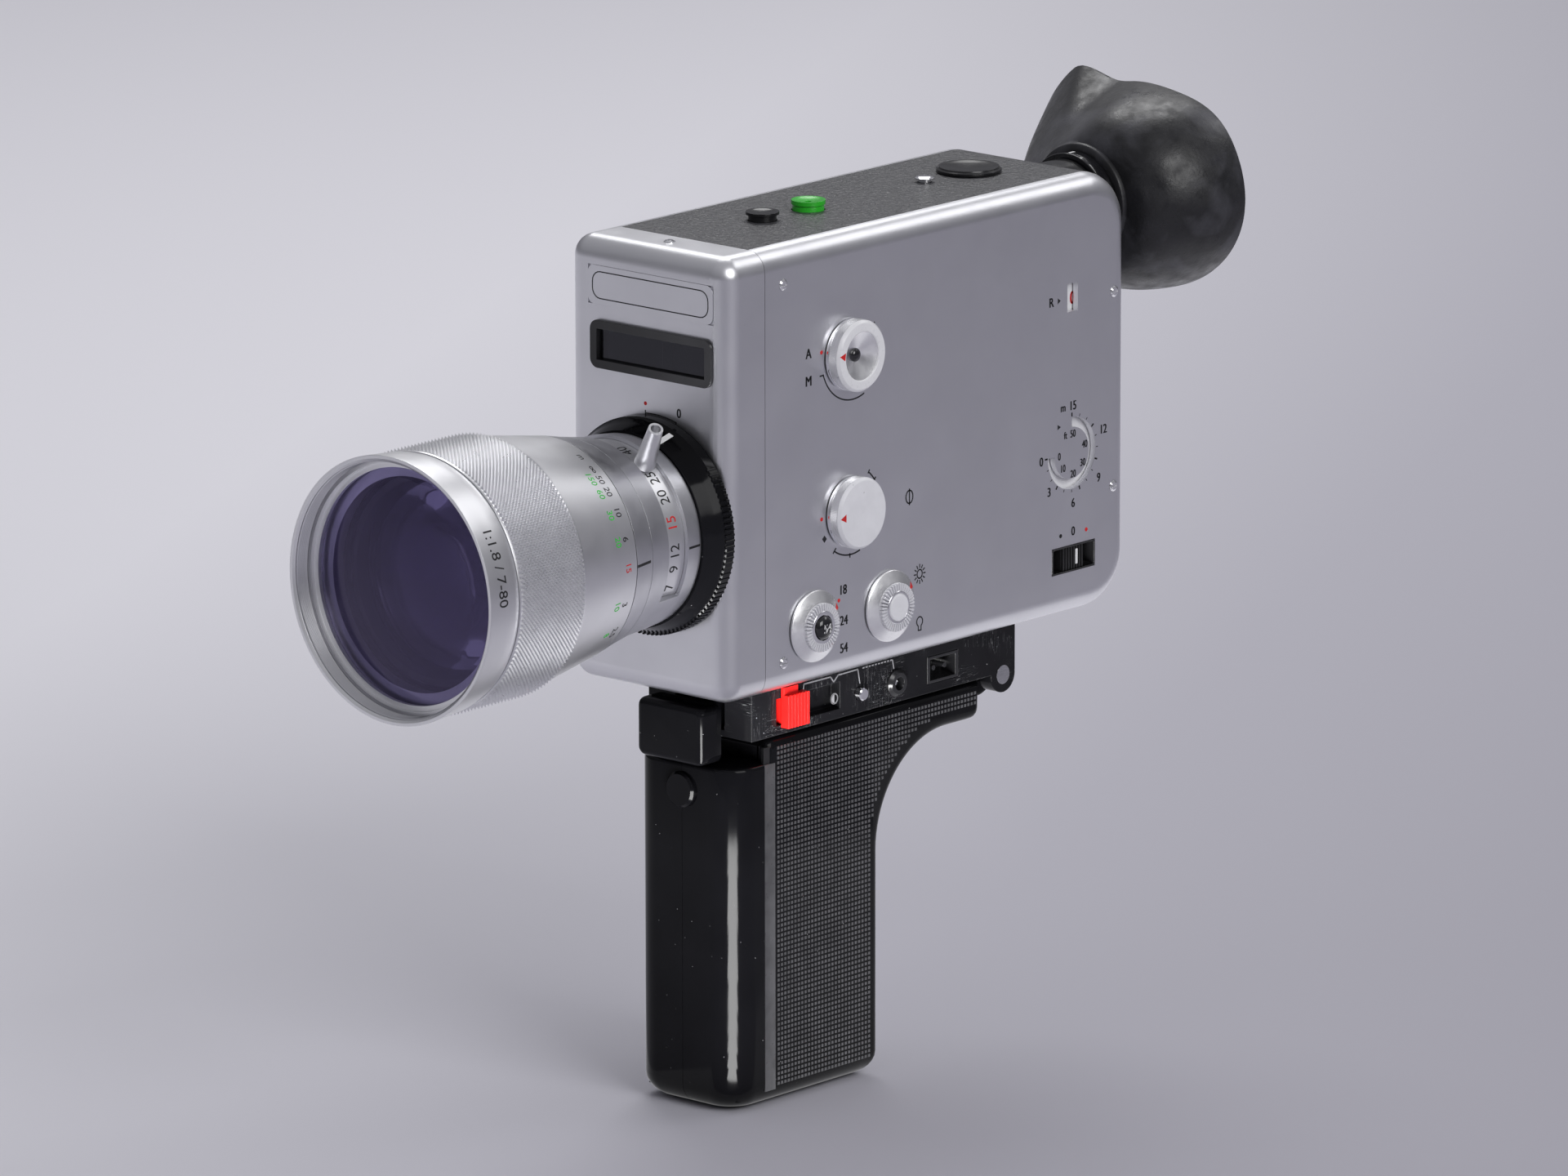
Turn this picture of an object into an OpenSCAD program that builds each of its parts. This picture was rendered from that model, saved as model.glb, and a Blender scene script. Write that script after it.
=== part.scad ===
// Super 8 cine camera with a zoom lens and a folding battery grip.
// +Z is up, the lens points to -Y and the control side faces +X.
// The origin is the mouth of the tripod bush, under the base block.

/* [Body] */
// Width of the body
body_w = 54; // [53.5:0.1:55]
// Length of the body from its front face to its rear face
body_l = 157; // [156.5:0.1:158]
// Height of the body
body_h = 115; // [114.5:0.1:116]
// Wall of the aluminium casings
wall = 1.6; // [1.4:0.1:1.7]
// Radius of the long rounded edges
edge_r = 5.5; // [5.3:0.1:5.7]
// Radius of the rear corners, seen from the side
corner_r = 14.5; // [13.5:0.5:15]
// Depth of the front housing, back to its seam
front_d = 14.6; // [14:0.2:15]
// Half width of the strip between the two side covers
strip_x = 21.2; // [21:0.1:21.4]

/* [Lens] */
// Lens axis, sideways from the middle of the body
lens_x = 2.5; // [2:0.1:3]
// Lens axis, up from the underside of the body
lens_z = 44.4; // [44:0.1:45]
// Radius of the front rim
rim_r = 34; // [33.8:0.1:34.2]
// Length of the lens ahead of the front face
lens_l = 97.2; // [97:0.1:98]

/* [Base and grip] */
// Height of the base block under the body
base_h = 14; // [14:0.1:14.4]
// Half width of the base block and of the grip
grip_x = 17.5; // [17.3:0.1:17.7]
// Depth of the tripod bush behind the front face
bush_y = 66; // [64:1:68]
// Bottom of the grip, below the underside of the body
grip_bottom = 111; // [110:0.5:112]
// Rear edge of the grip, behind the front face
grip_rear = 69.5; // [69:0.1:70]
// Fold pin behind the front face
pin_y = 118; // [118:0.5:118.5]
// Fold pin below the underside of the body
pin_z = -14.5; // [-14.6:0.1:-14.4]

/* [Hidden] */
$fn = 72;
eps = 0.01;
// Segments in a quarter of a rounded edge
quarter = 8;
body_x = body_w / 2;
knob_r = 9.3;
// Clearance of a running fit and of a seam
fit = 0.05;
seam = 0.15;
// Film chamber, inside
chamber_x = [-23.4, 7];
chamber_y = [38.1, 115.4];
chamber_z = [8.5, 78.9];
// Opening for the film door in the left cover
door_y = [35, 119];
door_z = [7.5, 82];
hinge_x = -body_x - 1.6;
hinge_y = door_y[1] + 0.6;
// Controls on the side: distance back and up
exposure_at = [46.4, 83.9];
aperture_at = [46.9, 43];
speed_at = [33.1, 15.6];
filter_at = [62, 15.6];
counter_at = [134, 43];
indicator_at = [134.1, 75.5];
switch_at = [134.8, 15.1];
screw_at = [[21.6, 105.7], [21.6, 8], [150.7, 83], [150.7, 31.4]];
// Controls on the top, distance back
release_y = 44.2;
fade_y = 61.8;
test_y = 107;
timer_y = 124.4;
// Viewfinder axis above the underside of the body
eye_z = 100.3;
// Eyecup: half width, half height and depth of the rim, and the place of its wing
cup_a = 33.4;
cup_b = 27;
cup_d = 39;
wing_angle = 137;
cup_sides = 48;
cup_steps = 8;
// Shutter and motor axis above the underside of the body
motor_z = 63.4;
// Screws
screw_r = 1.5;
shank_r = 0.95;
front_screw_y = 9;
// Name plate and window in the front face
plate_x = [-19.5, 22.7];
plate_z = [98.1, 108.2];
plate_t = 0.7;
plate_proud = 0.15;
window_x = [-18.2, 22.65];
window_z = [81.9, 94.3];
lip = 1;
leather_t = 0.8;
shaft_r = 2;
hinge_pin_r = 0.75;
spindle_y = 77;
motor_shaft_r = 1.2;
eye_r = 12;
// Lens radii
tube_r = 21;
sleeve_r = 22;
filter_r = 32.6;
dome_r = 190;
lever_angle = 56;
// Base block and grip
base_y = 20;
base_end = 122.7;
fork_x = 13.3;
pin_r = 2.5;
bush_r = 3.175;
jack_r = 1.75;
stem_x = 8;
tongue_r = 8;
hollow_r = 27.5;
arm_z = -24.5;
arm_end = 109.5;
grip_top = -14.6;
button_r = 4.7;
button_z = -27.7;

// ---- Placing ----

// Body coordinates: x across, y back from the front face, z up from the underside
module in_body() translate([0, -bush_y, base_h]) children();

// Lens coordinates: z ahead of the front face along the lens axis, y up
module in_lens() in_body() translate([lens_x, 0, lens_z]) rotate([90, 0, 0]) children();

// Side coordinates: x back, y up, z out of the control side
module on_side(at) in_body() translate([body_x, at[0], at[1]]) rotate([90, 0, 90]) children();

// Top coordinates: x across, y back, z up from the top face
module on_top(y) in_body() translate([0, y, body_h]) children();

// Rear coordinates on the viewfinder axis: z straight back from the rear face
module on_eye() in_body() translate([0, body_l, eye_z]) rotate([-90, 0, 0]) children();

// Side profile drawn as (back, up) and extruded from x0 to x1
module slab_x(x0, x1) translate([x0, 0, 0]) rotate([90, 0, 90]) linear_extrude(x1 - x0) children();

// ---- Outlines ----

function arc(cx, cy, r, a0, a1, n = quarter) =
  [for (i = [0:n]) [cx + r * cos(a0 + (a1 - a0) * i / n), cy + r * sin(a0 + (a1 - a0) * i / n)]];

// Rectangle from lo to hi with corner radii [low-low, high-low, high-high, low-high]
function rounded(lo, hi, r) = concat(
  arc(lo[0] + r[0], lo[1] + r[0], r[0], 180, 270),
  arc(hi[0] - r[1], lo[1] + r[1], r[1], 270, 360),
  arc(hi[0] - r[2], hi[1] - r[2], r[2], 0, 90),
  arc(lo[0] + r[3], hi[1] - r[3], r[3], 90, 180));

module lathe(points) rotate_extrude() polygon(points);

module ring(r_in, r_out, h) lathe([[r_in, 0], [r_out, 0], [r_out, h], [r_in, h]]);

// Box from corner lo to corner hi
module span(lo, hi) translate(lo) cube(hi - lo);

// ---- Casings ----

module both(axis) {
  children();
  mirror(axis) children();
}

// Profile of the front housing's rim: (outward, forward) from the centre of the edge
module front_profile() {
  inner = edge_r - wall;
  back = edge_r - front_d;
  polygon(concat(arc(0, 0, edge_r, 90, 0), [[edge_r, back], [inner, back]], arc(0, 0, inner, 0, 90)));
}

// Front housing without its openings: a face plate, four rims and four corners
module front_shell() {
  x = body_x - edge_r;
  z = body_h / 2 - edge_r;
  translate([0, 0, body_h / 2]) {
    span([-x, 0, -z], [x, wall, z]);
    both([1, 0, 0]) translate([x, edge_r, z]) rotate([180, 0, 0]) linear_extrude(2 * z) front_profile();
    both([0, 0, 1]) {
      translate([-x, edge_r, z]) rotate([180, -90, 0]) linear_extrude(2 * x) front_profile();
      both([1, 0, 0]) translate([x, edge_r, z]) rotate([90, 0, 0]) rotate_extrude(angle = 90)
        front_profile();
    }
  }
}

// Profile of a side cover: (outward from the corner's centre, x)
module cover_profile() {
  u = corner_r - edge_r;
  v = body_x - edge_r;
  lip = strip_x + seam;
  polygon(concat([[0, body_x - wall], [0, body_x]], arc(u, v, edge_r, 90, 0),
    [[corner_r, lip], [corner_r - wall, lip]], arc(u, v, edge_r - wall, 0, 90)));
}

// Side cover without its openings: a plate, three rims and two corners
module cover_shell() {
  y0 = front_d + seam;
  y1 = body_l - corner_r;
  z = body_h / 2 - corner_r;
  translate([0, 0, body_h / 2]) {
    span([body_x - wall, y0, -z], [body_x, y1, z]);
    translate([0, y1, z]) rotate([180, 0, 90]) linear_extrude(2 * z) cover_profile();
    both([0, 0, 1]) {
      translate([0, y0, z]) rotate([0, -90, -90]) linear_extrude(y1 - y0) cover_profile();
      translate([0, y1, z]) rotate([90, 0, 90]) rotate_extrude(angle = 90) cover_profile();
    }
  }
}

// Strip that runs over the top and down the rear, from depth d0 to depth d1 under the surface
module strip(d0, d1, y0, half_w) {
  y1 = body_l - corner_r;
  z = body_h / 2 - corner_r;
  module section() polygon([[corner_r - d1, -half_w], [corner_r - d0, -half_w],
    [corner_r - d0, half_w], [corner_r - d1, half_w]]);
  translate([0, 0, body_h / 2]) {
    translate([0, y1, z]) rotate([180, 0, 90]) linear_extrude(2 * z) section();
    translate([0, y0, z]) rotate([0, -90, -90]) linear_extrude(y1 - y0) section();
    both([0, 0, 1]) translate([0, y1, z]) rotate([90, 0, 90]) rotate_extrude(angle = 90) section();
  }
}

module front_housing() color("silver") in_body() difference() {
  front_shell();
  translate([lens_x, -eps, lens_z]) rotate([-90, 0, 0]) cylinder(r = sleeve_r + fit, h = 3.4);
  span([plate_x[0], -1, plate_z[0]], [plate_x[1], plate_t - plate_proud, plate_z[1]]);
  span([window_x[0] + lip, -1, window_z[0] + lip], [window_x[1] - lip, 3, window_z[1] - lip]);
  translate([0, front_screw_y, body_h - 3]) cylinder(r = shank_r + fit, h = 4);
  translate([0, front_screw_y, body_h - 0.7]) cylinder(r = screw_r + fit, h = 1);
}

// Screw holes with countersinks through the plate of a side cover
module cover_screw_holes() for (at = screw_at) translate([body_x, at[0], at[1]]) rotate([0, 90, 0]) {
  translate([0, 0, -2]) cylinder(r = shank_r + fit, h = 3);
  translate([0, 0, -0.7]) cylinder(r = screw_r + fit, h = 1);
}

module right_cover() color("silver") difference() {
  in_body() difference() {
    cover_shell();
    cover_screw_holes();
    span([20, switch_at[0] - 8.6, switch_at[1] - 3.6], [30, switch_at[0] + 8.6, switch_at[1] + 3.6]);
    span([20, indicator_at[0] - 2.1, 80.4], [30, indicator_at[0] + 2.1, 87.9]);
  }
  for (at = [exposure_at, aperture_at, speed_at, filter_at])
    on_side(at) translate([0, 0, -3]) cylinder(r = shaft_r + fit, h = 4);
  on_side(counter_at) translate([0, 0, -3]) rotate([0, 0, 180]) rotate_extrude(angle = 270)
    translate([6.8, 0]) square([2.7, 4]);
}

module left_cover() color("silver") in_body() difference() {
  union() {
    mirror([1, 0, 0]) cover_shell();
    for (z = [17, 65.5]) hinge_leaf(z, 9, 0.6);
    translate([hinge_x, hinge_y, 17]) cylinder(r = hinge_pin_r, h = 57.5);
  }
  mirror([1, 0, 0]) cover_screw_holes();
  span([-30, door_y[0], door_z[0]], [-20, door_y[1], door_z[1]]);
}

// Hinge knuckle with its leaf, whose near end is at y0 from the hinge line
module hinge_leaf(z, h, y0) {
  translate([hinge_x, hinge_y, z]) cylinder(r = 1.3, h = h);
  span([-body_x - 1.4, hinge_y + y0, z], [-body_x + eps, hinge_y + y0 + 3.1, z + h]);
}

module body_frame() color("dimgray") in_body() difference() {
  union() {
    strip(leather_t, 2.4, front_d + seam, strip_x);
    span([-strip_x, front_d + seam, 0], [strip_x, body_l - corner_r, 2.4]);
    both([1, 0, 0]) for (at = screw_at) {
      z0 = at[1] > body_h / 2 ? body_h - 7 : 2;
      y = at[0] > body_l / 2 ? body_l - 5.5 : at[0] + 2.6;
      span([18, at[0] - 2.6, at[1] - 2.4], [body_x - wall - 0.2, y, at[1] + 2.4]);
      if (at[0] > body_l / 2) span([18, y - 1, at[1] - 2.4], [21, body_l - 2, at[1] + 2.4]);
      else span([18, at[0] - 2.6, z0], [21, y, z0 + 5]);
    }
    span([-6, edge_r + 0.6, body_h - wall - 2.3], [6, front_d + 3, body_h - wall - 0.1]);
  }
  translate([0, front_screw_y, body_h - 8]) cylinder(r = shank_r, h = 8);
  for (at = screw_at) translate([-30, at[0], at[1]]) rotate([0, 90, 0]) cylinder(r = shank_r, h = 60);
  top_holes(0);
  translate([0, body_l - 20, eye_z]) rotate([-90, 0, 0]) cylinder(r = eye_r + fit, h = 30);
}

// Holes under the top controls, wider by the given amount
module top_holes(wider) translate([0, 0, body_h - 4]) {
  translate([0, release_y, 0]) cylinder(r = 3.6 + fit + wider, h = 6);
  translate([0, fade_y, 0]) cylinder(r = 4.1 + fit + wider, h = 6);
  translate([0, test_y, 0]) cylinder(r = 1.6 + fit + wider, h = 6);
  translate([0, timer_y, 0]) cylinder(r = 2.5 + fit + wider, h = 6);
}

module leather_strip() color([0.2, 0.2, 0.22]) in_body() difference() {
  strip(0, leather_t, front_d + seam, strip_x);
  top_holes(0.2);
  translate([0, body_l - 20, eye_z]) rotate([-90, 0, 0]) cylinder(r = eye_r + 0.2, h = 30);
}

// Slotted screw with its head's top at z = 0.4
module screw() difference() {
  lathe([[0, -5.5], [shank_r - fit, -5.5], [shank_r - fit, -0.65], [screw_r, -0.65], [screw_r, 0.1],
    [screw_r - 0.5, 0.4], [0, 0.4]]);
  translate([-2, -0.22, 0]) cube([4, 0.44, 1]);
}

module cover_screws() color("white") {
  in_body() both([1, 0, 0]) for (at = screw_at) translate([body_x, at[0], at[1]])
    rotate([90, 0, 90]) rotate([0, 0, 30 + 7 * at[0]]) screw();
  on_top(front_screw_y) translate([0, 0, 0.05]) screw();
}

module name_plate() color("gainsboro") in_body() translate([0, plate_t - plate_proud, 0])
  rotate([90, 0, 0]) linear_extrude(plate_t)
  polygon(rounded([plate_x[0] + fit, plate_z[0] + fit], [plate_x[1] - fit, plate_z[1] - fit],
    [2, 2, 2, 2]));

// Frame of the meter window: a flange outside and a spigot through the housing
module window_frame() color("black") in_body() difference() {
  union() {
    rotate([90, 0, 0]) linear_extrude(0.9)
      polygon(rounded([window_x[0], window_z[0]], [window_x[1], window_z[1]], [2.5, 2.5, 2.5, 2.5]));
    span([window_x[0] + lip + fit, 0, window_z[0] + lip + fit],
      [window_x[1] - lip - fit, 2.6, window_z[1] - lip - fit]);
  }
  span([window_x[0] + 2.2, -2, window_z[0] + 2.2], [window_x[1] - 2.2, 4, window_z[1] - 2.2]);
}

module window_glass() color([0.1, 0.1, 0.14, 0.6]) in_body()
  span([window_x[0] + 2.2, 0.4, window_z[0] + 2.2], [window_x[1] - 2.2, 1.6, window_z[1] - 2.2]);

// ---- Inside the body ----

module film_chamber() color("darkgray") in_body() difference() {
  t = 1.5;
  span([chamber_x[0], chamber_y[0] - t, chamber_z[0] - t], [chamber_x[1] + t, chamber_y[1] + t,
    chamber_z[1] + t]);
  span([chamber_x[0] - 1, chamber_y[0], chamber_z[0]], [chamber_x[1], chamber_y[1], chamber_z[1]]);
  span([lens_x - 6, 30, lens_z - 5], [chamber_x[1] - 1, 40, lens_z + 5]);
  translate([0, spindle_y, lens_z]) rotate([0, 90, 0]) cylinder(r = 2 + fit, h = 30);
}

module film_gate() color("silver") in_body() difference() {
  span([lens_x - 9, chamber_y[0] - 2.8, lens_z - 13], [chamber_x[1] + 1, chamber_y[0] - 1.5 - eps,
    lens_z + 13]);
  span([lens_x - 2.9, 30, lens_z - 2.1], [lens_x + 2.9, 40, lens_z + 2.1]);
}

module drive_motor() color("slategray") in_body() translate([0, 6.5, motor_z]) rotate([-90, 0, 0])
  lathe([[0, 0], [9, 0], [9, 18], [5, 20.5], [motor_shaft_r + fit, 20.5], [motor_shaft_r + fit, 14],
    [0, 14]]);

module shutter_disc() color("dimgray") in_body() translate([0, 0, motor_z]) rotate([-90, 0, 0]) {
  translate([0, 0, 21]) cylinder(r = motor_shaft_r, h = 12);
  translate([0, 0, 28.5]) cylinder(r = 6, h = 3.5);
  translate([0, 0, 30.8]) rotate([0, 0, -30]) rotate_extrude(angle = 210) translate([5.5, 0])
    square([16.5, 0.6]);
}

module takeup_spindle() color("white") in_body() translate([0, spindle_y, lens_z]) rotate([0, 90, 0]) {
  translate([0, 0, 3]) cylinder(r = 2, h = 6.7);
  difference() {
    translate([0, 0, 2]) cylinder(r = 4.6, h = 4.5);
    translate([-5, -0.6, 1]) cube([10, 1.2, 2]);
  }
}

// Board behind the controls, with tall parts and the bearing posts of the two indicator discs
module circuit_board() color("darkgreen") in_body() {
  shafts = [exposure_at, aperture_at, speed_at, filter_at];
  difference() {
    union() {
      span([10.2, 40, 5], [11.4, 147, 80]);
      span([10.2, 27.5, 5], [11.4, 41, 27]);
      span([10.2, 41, 79], [11.4, 52, 90]);
      for (at = [[60, 68], [70, 68], [82, 60], [96, 66], [90, 30], [104, 40], [106, 22]])
        translate([11, at[0], at[1]]) rotate([0, 90, 0]) cylinder(r = 3.4, h = 9);
      for (at = [[58, 30], [72, 40], [84, 44]]) translate([11, at[0], at[1]]) cube([4, 8, 10]);
      for (at = [counter_at, indicator_at]) translate([11, at[0], at[1]]) rotate([0, 90, 0])
        cylinder(r = 3, h = 11.5);
      for (at = shafts) translate([11, at[0], at[1]]) rotate([0, 90, 0]) cylinder(r = 3.4, h = 10);
    }
    for (at = [counter_at, indicator_at]) translate([5, at[0], at[1]]) rotate([0, 90, 0])
      cylinder(r = 1.5 + fit, h = 30);
    for (at = shafts) translate([14, at[0], at[1]]) rotate([0, 90, 0]) cylinder(r = shaft_r + fit, h = 30);
  }
}

// Prism block and eyepiece lens of the reflex finder
module finder_optics() color([0.7, 0.8, 0.9, 0.5]) {
  in_body() slab_x(-9, 9) polygon([[122, 90], [138, 90], [138, 106], [122, 106]]);
  on_eye() translate([0, 0, 4]) lathe(concat([[0, -1.6]], arc(0, -22, 20.6, 75, 66, 4), [[8.4, 2]],
    arc(0, -16, 20, 65, 90, 6)));
}

// ---- Lens ----

module lens_sleeve() color("silver") in_lens() difference() {
  lathe([[tube_r + fit, -4.2], [sleeve_r, -4.2], [sleeve_r, 9.8], [24.7, 9.8],
    [25.3, 15], [25.9, 23.3], [27.2, 30.4], [24.3, 30.4], [24.3, 13.2], [tube_r + fit, 13.2]]);
  translate([0, 0, 15.3]) rotate([0, 0, -30]) rotate_extrude(angle = 200) translate([23, 0])
    square([5, 7.7]);
}

module lock_ring() color("black") in_lens() lathe([[sleeve_r + fit, 0.3], [27.4, 0.3], [27.9, 0.8],
  [27.9, 3.6], [27.2, 4.4], [25.3, 9.5], [sleeve_r + fit, 9.5]]);

module zoom_ring() color("silver") in_lens() difference() {
  translate([0, 0, 13.5]) ring(tube_r + fit, 24.24, 12.5);
  zoom_lever_axis() cylinder(r = 1.4, h = 40);
}

// Axis of the zoom lever, leaning forward from the zoom ring
module zoom_lever_axis() rotate([0, 0, lever_angle]) translate([0, 0, 11.45]) rotate([0, 73.6, 0])
  children();

module zoom_lever() color("silver") in_lens() difference() {
  zoom_lever_axis() rotate_extrude() polygon([[0, 22.6], [1.4, 22.6], [1.4, 26.2], [2.8, 26.2],
    [1.9, 39.4], [0, 39.4]]);
  zoom_lever_axis() translate([0, 0, 35]) cylinder(r = 1.3, h = 10);
}

module index_ring() color("gainsboro") in_lens() lathe([[tube_r + fit, 26.3], [24.25, 26.3], [24.25, 30.5],
  [27.2, 30.5], [28.85, 38], [24, 38], [24, 60.5], [tube_r + fit, 60.5]]);

module lens_tube() color("black") in_lens() lathe([[6.5, -28], [9, -28], [9, -5.6], [tube_r, -5.6],
  [tube_r, 61.2],
  [26, 61.2], [26, 80], [24.2, 80], [24.2, 62.6], [19.4, 62.6], [19.4, -4], [6.5, -4]]);

module inner_lenses() color([0.35, 0.3, 0.5, 0.6]) in_lens() {
  lathe(concat(arc(0, 120, 51, -90, -61.8, 6), [[24.15, 77]], arc(0, 20, 61.9, 67, 90, 6)));
  lathe([[0, -22], [6.45, -21], [6.45, -16], [0, -14.5]]);
}

module focus_barrel() color("silver") in_lens() lathe([[24 + fit, 38.3], [28.9, 38.3], [32.8, 61.3],
  [31.6, 61.3],
  [31.6, 85.5], [29, 85.5], [29, 60], [24 + fit, 60]]);

module focus_grip() color("lightgray") in_lens() translate([0, 0, 61.4])
  ring(31.6 + fit, rim_r - 0.4, 24.1);

module front_ring() color("silver") in_lens() lathe([[27, 82], [28.96, 82], [28.96, 85.6], [32.7, 85.6],
  [33.3, 87.6], [rim_r, 96.6], [rim_r, lens_l], [33.2, lens_l], [filter_r, 96.6], [filter_r, 92.6],
    [31.3, 92.6],
  [31.3, 91.2], [30, 91.2], [30, 90], [30.98, 90], [30.98, 86.9], [27, 86.9]]);

module front_lens() color([0.35, 0.3, 0.5, 0.6]) in_lens()
  lathe(concat([[0, 87.4], [30.9, 86.95]], arc(0, 92.3 - dome_r, dome_r, 80.65, 90, 6)));

// ---- Side controls ----

module exposure_knob() color("white") on_side(exposure_at) lathe([[0, -9], [shaft_r, -9], [shaft_r, 0.3],
  [knob_r, 0.3], [knob_r, 4.4], [knob_r - 0.4, 4.9], [6.4, 4.9], [1.8, 3.3], [1.8, 2], [0, 2]]);

module aperture_knob() color("white") on_side(aperture_at) lathe([[0, -9], [shaft_r, -9], [shaft_r, 0.3],
  [knob_r, 0.3], [knob_r, 4.3], [knob_r - 0.4, 4.7], [0, 4.7]]);

// Conical dial with a crown; bore is the radius of its centre hole
module dial(bore) difference() {
  lathe([[0, -9], [shaft_r, -9], [shaft_r, 0.3], [knob_r, 0.3], [knob_r, 0.8], [6.3, 2.5], [6.3, 3.4],
    [0, 3.4]]);
  if (bore > 0) translate([0, 0, 0.9]) cylinder(r = bore, h = 5);
}

module speed_dial() color("white") on_side(speed_at) dial(3.2);

module frame_button() color("black") on_side(speed_at) translate([0, 0, 2.1])
  lathe([[0, 0], [3.2 - fit, 0], [3.2 - fit, 1.6], [2.2, 2.4], [0, 2.7]]);

module filter_dial() color("white") on_side(filter_at) union() {
  dial(0);
  translate([0, 0, 3.3]) cylinder(r = 3.6, h = 0.5);
}

// Disc with a stub shaft, behind a window in the side cover
module indicator(r) {
  translate([0, 0, -2.9]) cylinder(r = r, h = 0.8);
  translate([0, 0, -14]) cylinder(r = 1.5, h = 11.5);
}

module counter_disc() color("white") on_side(counter_at) indicator(10.4);

module indicator_wheel() color("white") on_side(indicator_at) indicator(13);

module switch_frame() color("black") on_side(switch_at) difference() {
  translate([0, 0, -5]) linear_extrude(5.1) polygon(rounded([-8.55, -3.55], [8.55, 3.55],
    [0.8, 0.8, 0.8, 0.8]));
  translate([0, 0, -4.2]) linear_extrude(5) polygon(rounded([-8.1, -3.1], [8.1, 3.1],
    [0.5, 0.5, 0.5, 0.5]));
}

module switch_slider() color("black") on_side(switch_at) difference() {
  translate([-4, -3.05, -4.1]) cube([8, 6.1, 3.9]);
  for (i = [-2:2]) translate([1.3 * i - 0.25, -4, -0.9]) cube([0.5, 8, 2]);
}

// ---- Top controls ----

module release_button() color("black") on_top(release_y) lathe(concat([[0, -3.3], [4.1, -3.3], [4.1, -2.7],
  [3.6, -2.7], [3.6, 1.5], [4.3, 1.6], [4.3, 2.3]], arc(0, 14.5, 12.8, -72, -90, 4)));

module fade_button() color("limegreen") on_top(fade_y) difference() {
  lathe(concat([[0, -3.3], [4.6, -3.3], [4.6, -2.7], [4.1, -2.7], [4.1, 0.9], [3.9, 1.1], [3.9, 1.4],
    [4.4, 1.5],
    [4.4, 2.6]], arc(0, 15, 13, -72, -90, 4)));
  translate([0, 0, 1]) cylinder(r = 0.8, h = 3);
}

module test_button() color("white") on_top(test_y)
  lathe([[0, -3.2], [2.2, -3.2], [2.2, -2.7], [1.6, -2.7], [1.6, 0.9], [2.6, 0.9], [2.6, 1.2],
    [1.8, 1.6], [0, 1.8]]);

module timer_dial() color("black") on_top(timer_y) lathe(concat([[0, -3.5], [3.4, -3.5], [3.4, -2.7],
  [2.5, -2.7],
  [2.5, 0.3], [8.5, 0.3], [8.5, 0.9], [8, 1.2], [7.8, 1.6]], arc(0, 29.8, 29.2, -75, -90, 4)));

// ---- Viewfinder ----

module eyepiece_tube() color("black") on_eye() lathe([[9.6, -17], [eye_r, -17], [eye_r, 6.2],
  [10.8, 6.4], [10.8, 24],
  [8.4, 24], [8.4, 4], [9.6, 1]]);

module diopter_ring() color("black") on_eye() translate([0, 0, 6.6]) ring(10.8 + fit, 13.4, 4.2);

// Smooth swelling of the eyecup round the angle at, measured from +X towards +Z
function swell(a, at, before, after) = exp(-pow((a - at) / (a < at ? before : after), 2));
// Radius and depth of the eyecup's rim: an oval with a shoulder, and a wing on its far upper side
function rim_r(a) = cup_a * cup_b / norm([cup_b * cos(a), cup_a * sin(a)])
  + 9.4 * swell(a, wing_angle, 13, 58)
  + 1.8 * swell(a, 42, 22, 22);
function rim_d(a) = cup_d + 4.5 * swell(a, wing_angle, 40, 40);
// Point of the rubber: t runs from the neck to the rim, hollowed outwards where the wing is
function cup_point(a, t, neck, inset) = let(k = 0.5 * swell(a, wing_angle, 45, 45), s = sin(90 * t),
  c = 1 - cos(90 * t))
  [neck[0] + (rim_r(a) - inset - neck[0]) * ((1 - k) * s + k * c),
   neck[1] + (rim_d(a) + k * inset - neck[1]) * ((1 - k) * c + k * s)];
function cup_section(a) = concat([[15.3, 11.2]], [for (t = [0:cup_steps])
  cup_point(a, t / cup_steps, [15.3, 12.6], 0)],
  [for (t = [cup_steps:-1:0]) cup_point(a, t / cup_steps, [14.2, 14.4], 1.1)],
    [[13.6, 23], [11.2, 23], [11.2, 11.2]]);

// Rubber eyecup: a neck that turns on the finder tube and a thin oval bowl with a wing
module eyecup() color([0.12, 0.12, 0.13]) on_eye() {
  rings = [for (i = [0:cup_sides - 1]) cup_section(360 * i / cup_sides)];
  n = len(rings[0]);
  points = [for (i = [0:cup_sides - 1], p = rings[i]) let(a = 360 * i / cup_sides)
    [p[0] * cos(a), -p[0] * sin(a), p[1]]];
  faces = [for (i = [0:cup_sides - 1], j = [0:n - 1]) let(i1 = (i + 1) % cup_sides, j1 = (j + 1) % n,
    q = [i * n + j, i1 * n + j, i1 * n + j1, i * n + j1]) each [[q[0], q[1], q[2]], [q[0], q[2], q[3]]]];
  polyhedron(points, faces);
}

// ---- Film door ----

module film_door() color("silver") in_body() difference() {
  union() {
    span([-body_x, door_y[0] + 0.3, door_z[0] + 0.3], [-body_x + wall - 0.1, door_y[1] - 0.3,
      door_z[1] - 0.3]);
    hinge_leaf(26.3, 38.9, -4);
  }
  translate([hinge_x, hinge_y, 0]) cylinder(r = hinge_pin_r + fit, h = body_h);
  span([-30, door_y[0] + 2.5, lens_z - 2.5], [-20, door_y[0] + 14.5, lens_z + 2.5]);
}

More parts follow.
